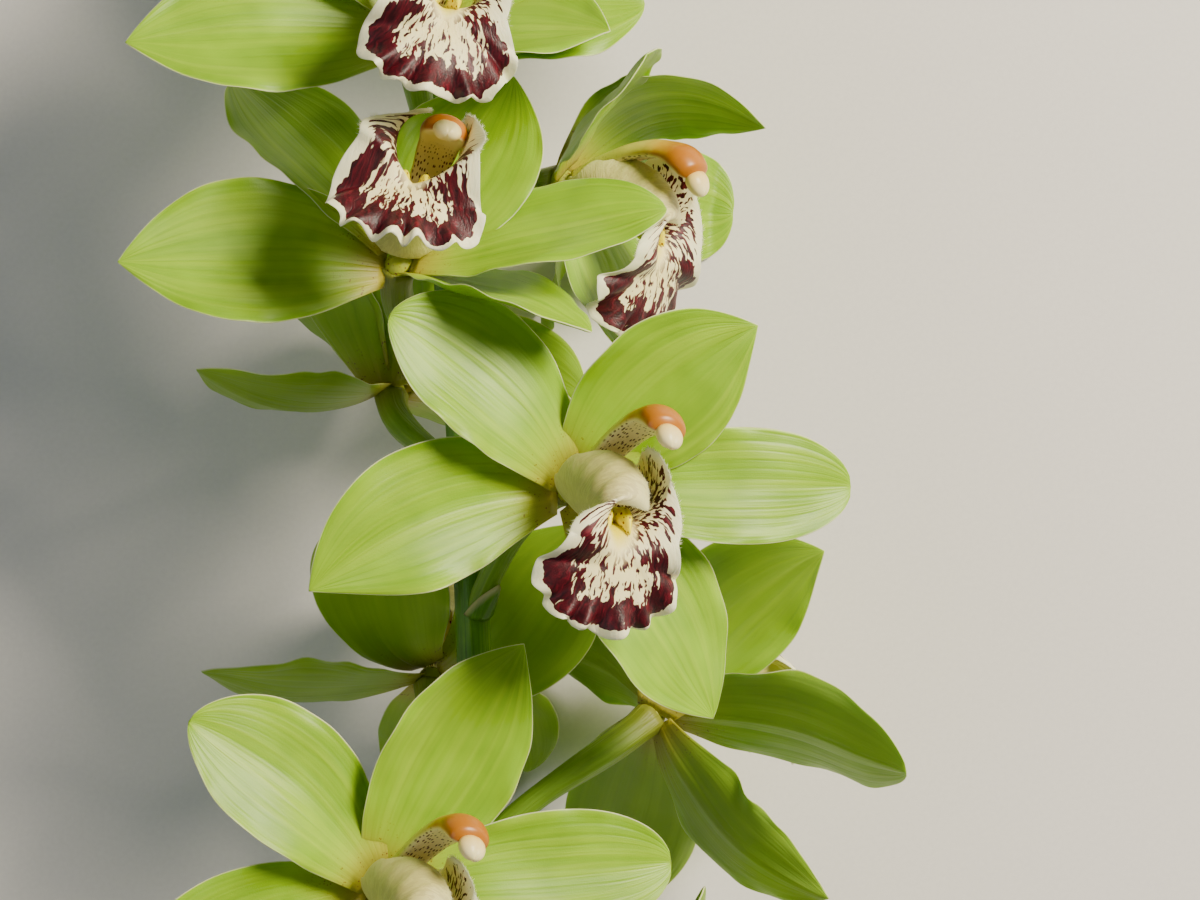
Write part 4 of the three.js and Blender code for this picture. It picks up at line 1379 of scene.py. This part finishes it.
def stem_skin():
    """Stem rind: firm green with fine ribs, browner by the hubs, straw at dry edges."""
    skin, tree, shader = new_skin(
        "ribbed_stem_rind", roughness=0.45, ior=1.42, subsurface=0.12, radius=(0.6, 0.9, 0.2),
    )
    lay = add(tree, "Attribute", attribute_name="lay", out="Vector")
    run, margin, stalk = [
        add(tree, "Attribute", attribute_name=mark, out="Fac") for mark in ("run", "margin", "lobe")
    ]

    # Ribs about 0.5 mm wide and 20 mm long, over patches of about 17 mm.
    patches = add(tree, "TexNoise", {"Vector": lay, "Scale": 0.06, "Detail": 3.0}, out="Fac")
    ribs = add(tree, "Mapping", {"Vector": lay, "Scale": (2.2, 0.05, 2.2)})
    ribs = add(tree, "TexNoise", {"Vector": ribs, "Scale": 1.0, "Detail": 2.0}, out="Fac")
    mixed = add(tree, "Math", {0: ribs, 1: 0.5, 2: patches}, operation="MULTIPLY_ADD")
    green = add(tree, "ValToRGB", {"Fac": mixed}, stops=[
        (0.5, linear("#386504")), (0.75, linear("#568810")), (1.0, linear("#7fa824")),
    ])

    # Stalks are paler, and riper by their blooms; blades are dry in their outer millimetre.
    pale = add(tree, "Math", {0: stalk, 1: 0.45}, operation="MULTIPLY")
    ripe = add(tree, "MapRange", {0: run, 1: 0.7, 2: 1.0, 3: 0.0, 4: 0.6})
    ripe = add(tree, "Math", {0: ripe, 1: stalk}, operation="MULTIPLY")
    dry = add(tree, "MapRange", {0: margin, 1: 0.2, 2: 1.2, 3: 0.8, 4: 0.0})
    for share, code in ((pale, "#8aa830"), (ripe, "#7d6a2c"), (dry, "#b9ae72")):
        green = add(tree, "Mix", {"Factor": share, "A": green, "B": linear(code)}, data_type="RGBA")
    tree.links.new(green, shader.inputs["Base Color"])
    bump = add(tree, "Bump", {"Height": ribs, "Strength": 0.5, "Distance": 0.0005})
    tree.links.new(bump, shader.inputs["Normal"])
    return skin


def bud_skin():
    """Bud flesh: waxy green with ribs of 0.9 mm, and a brownish blush at the tip."""
    skin, tree, shader = new_skin(
        "waxy_bud_flesh", roughness=0.4, ior=1.42, subsurface=0.2, radius=(0.8, 1.0, 0.3),
    )
    lay = add(tree, "Attribute", attribute_name="lay", out="Vector")
    run = add(tree, "Attribute", attribute_name="run", out="Fac")
    ribs = add(tree, "Mapping", {"Vector": lay, "Scale": (1.1, 0.06, 1.1)})
    ribs = add(tree, "TexNoise", {"Vector": ribs, "Scale": 1.0, "Detail": 2.5}, out="Fac")
    green = add(tree, "ValToRGB", {"Fac": ribs}, stops=[
        (0.35, linear("#7d9d2c")), (0.65, linear("#a4c043")),
    ])
    blush = add(tree, "MapRange", {0: run, 1: 0.8, 2: 1.0, 3: 0.0, 4: 0.6})
    color = add(tree, "Mix", {"Factor": blush, "A": green, "B": linear("#8a6a35")},
                data_type="RGBA")
    tree.links.new(color, shader.inputs["Base Color"])
    bump = add(tree, "Bump", {"Height": ribs, "Strength": 0.4, "Distance": 0.0005})
    tree.links.new(bump, shader.inputs["Normal"])
    return skin


def floor_skin():
    """Matt painted board, pale and even but for a very fine tooth of 1 mm."""
    skin, tree, shader = new_skin(
        "matt_painted_board", roughness=0.85, ior=1.45, subsurface=0.0, radius=(1, 1, 1),
    )
    where = add(tree, "TexCoord", out="Object")
    tooth = add(tree, "TexNoise", {"Vector": where, "Scale": 900.0, "Detail": 2.0}, out="Fac")
    color = add(tree, "ValToRGB", {"Fac": tooth}, stops=[
        (0.2, linear("#e3e1dc")), (0.8, linear("#e9e7e2")),
    ])
    tree.links.new(color, shader.inputs["Base Color"])
    return skin


TEPAL_SKIN = tepal_skin()
LIP_SKIN = lip_skin()
CALLUS_SKIN = callus_skin()
COLUMN_SKIN = column_skin()
CAP_SKIN = cap_skin()
STEM_SKIN = stem_skin()
BUD_SKIN = bud_skin()


# -------------------------------------------------------- camera and light


def aim(thing, place, target):
    thing.location = place
    thing.rotation_euler = (target - place).to_track_quat("-Z", "Y").to_euler()


def add_camera():
    data = bpy.data.cameras.new("camera")
    data.lens = CAMERA_LENS
    data.sensor_width = CAMERA_SENSOR
    camera = bpy.data.objects.new("camera", data)
    bpy.context.scene.collection.objects.link(camera)
    camera.location = placed(Vector((0, 0, CAMERA_HEIGHT)))
    bpy.context.scene.camera = camera


def add_light(name, place, size, power, color):
    data = bpy.data.lights.new(name, "AREA")
    data.size = size
    data.energy = power
    data.color = linear(color)[:3]
    lamp = bpy.data.objects.new(name, data)
    bpy.context.scene.collection.objects.link(lamp)
    aim(lamp, Vector(place), Vector(LIGHT_TARGET))


def add_floor():
    bm = bmesh.new()
    bmesh.ops.create_grid(bm, x_segments=1, y_segments=1, size=FLOOR_REACH)
    mesh = bpy.data.meshes.new("floor")
    bm.to_mesh(mesh)
    bm.free()
    floor = bpy.data.objects.new("floor", mesh)
    bpy.context.scene.collection.objects.link(floor)
    mesh.materials.append(floor_skin())


def set_stage():
    add_camera()
    add_floor()
    add_light("key_light", place=(1.0, 0.75, 1.0), size=0.55, power=58, color="#fff2dc")
    add_light("fill_light", place=(-1.2, -0.4, 1.2), size=1.2, power=6, color="#eef3ff")
    world = bpy.data.worlds.new("studio")
    world.use_nodes = True
    backdrop = world.node_tree.nodes["Background"]
    backdrop.inputs["Color"].default_value = linear("#dfe4ea")
    backdrop.inputs["Strength"].default_value = WORLD_STRENGTH
    bpy.context.scene.world = world


set_stage()
make_stem()
for number, bloom in enumerate(BLOOMS, 1):
    chance = random.Random(number)
    axes = bloom_axes(bloom)
    name = f"bloom_{number:02d}"
    make_tepals(bloom, axes, name, number, chance)
    make_lip(bloom, own_axes(bloom, "lip"), name, number, chance)
    make_column(bloom, own_axes(bloom, "column"), name)
    make_cap(bloom, own_axes(bloom, "column"), name)
for number, bud in enumerate(BUDS, 1):
    make_bud(number, bud)
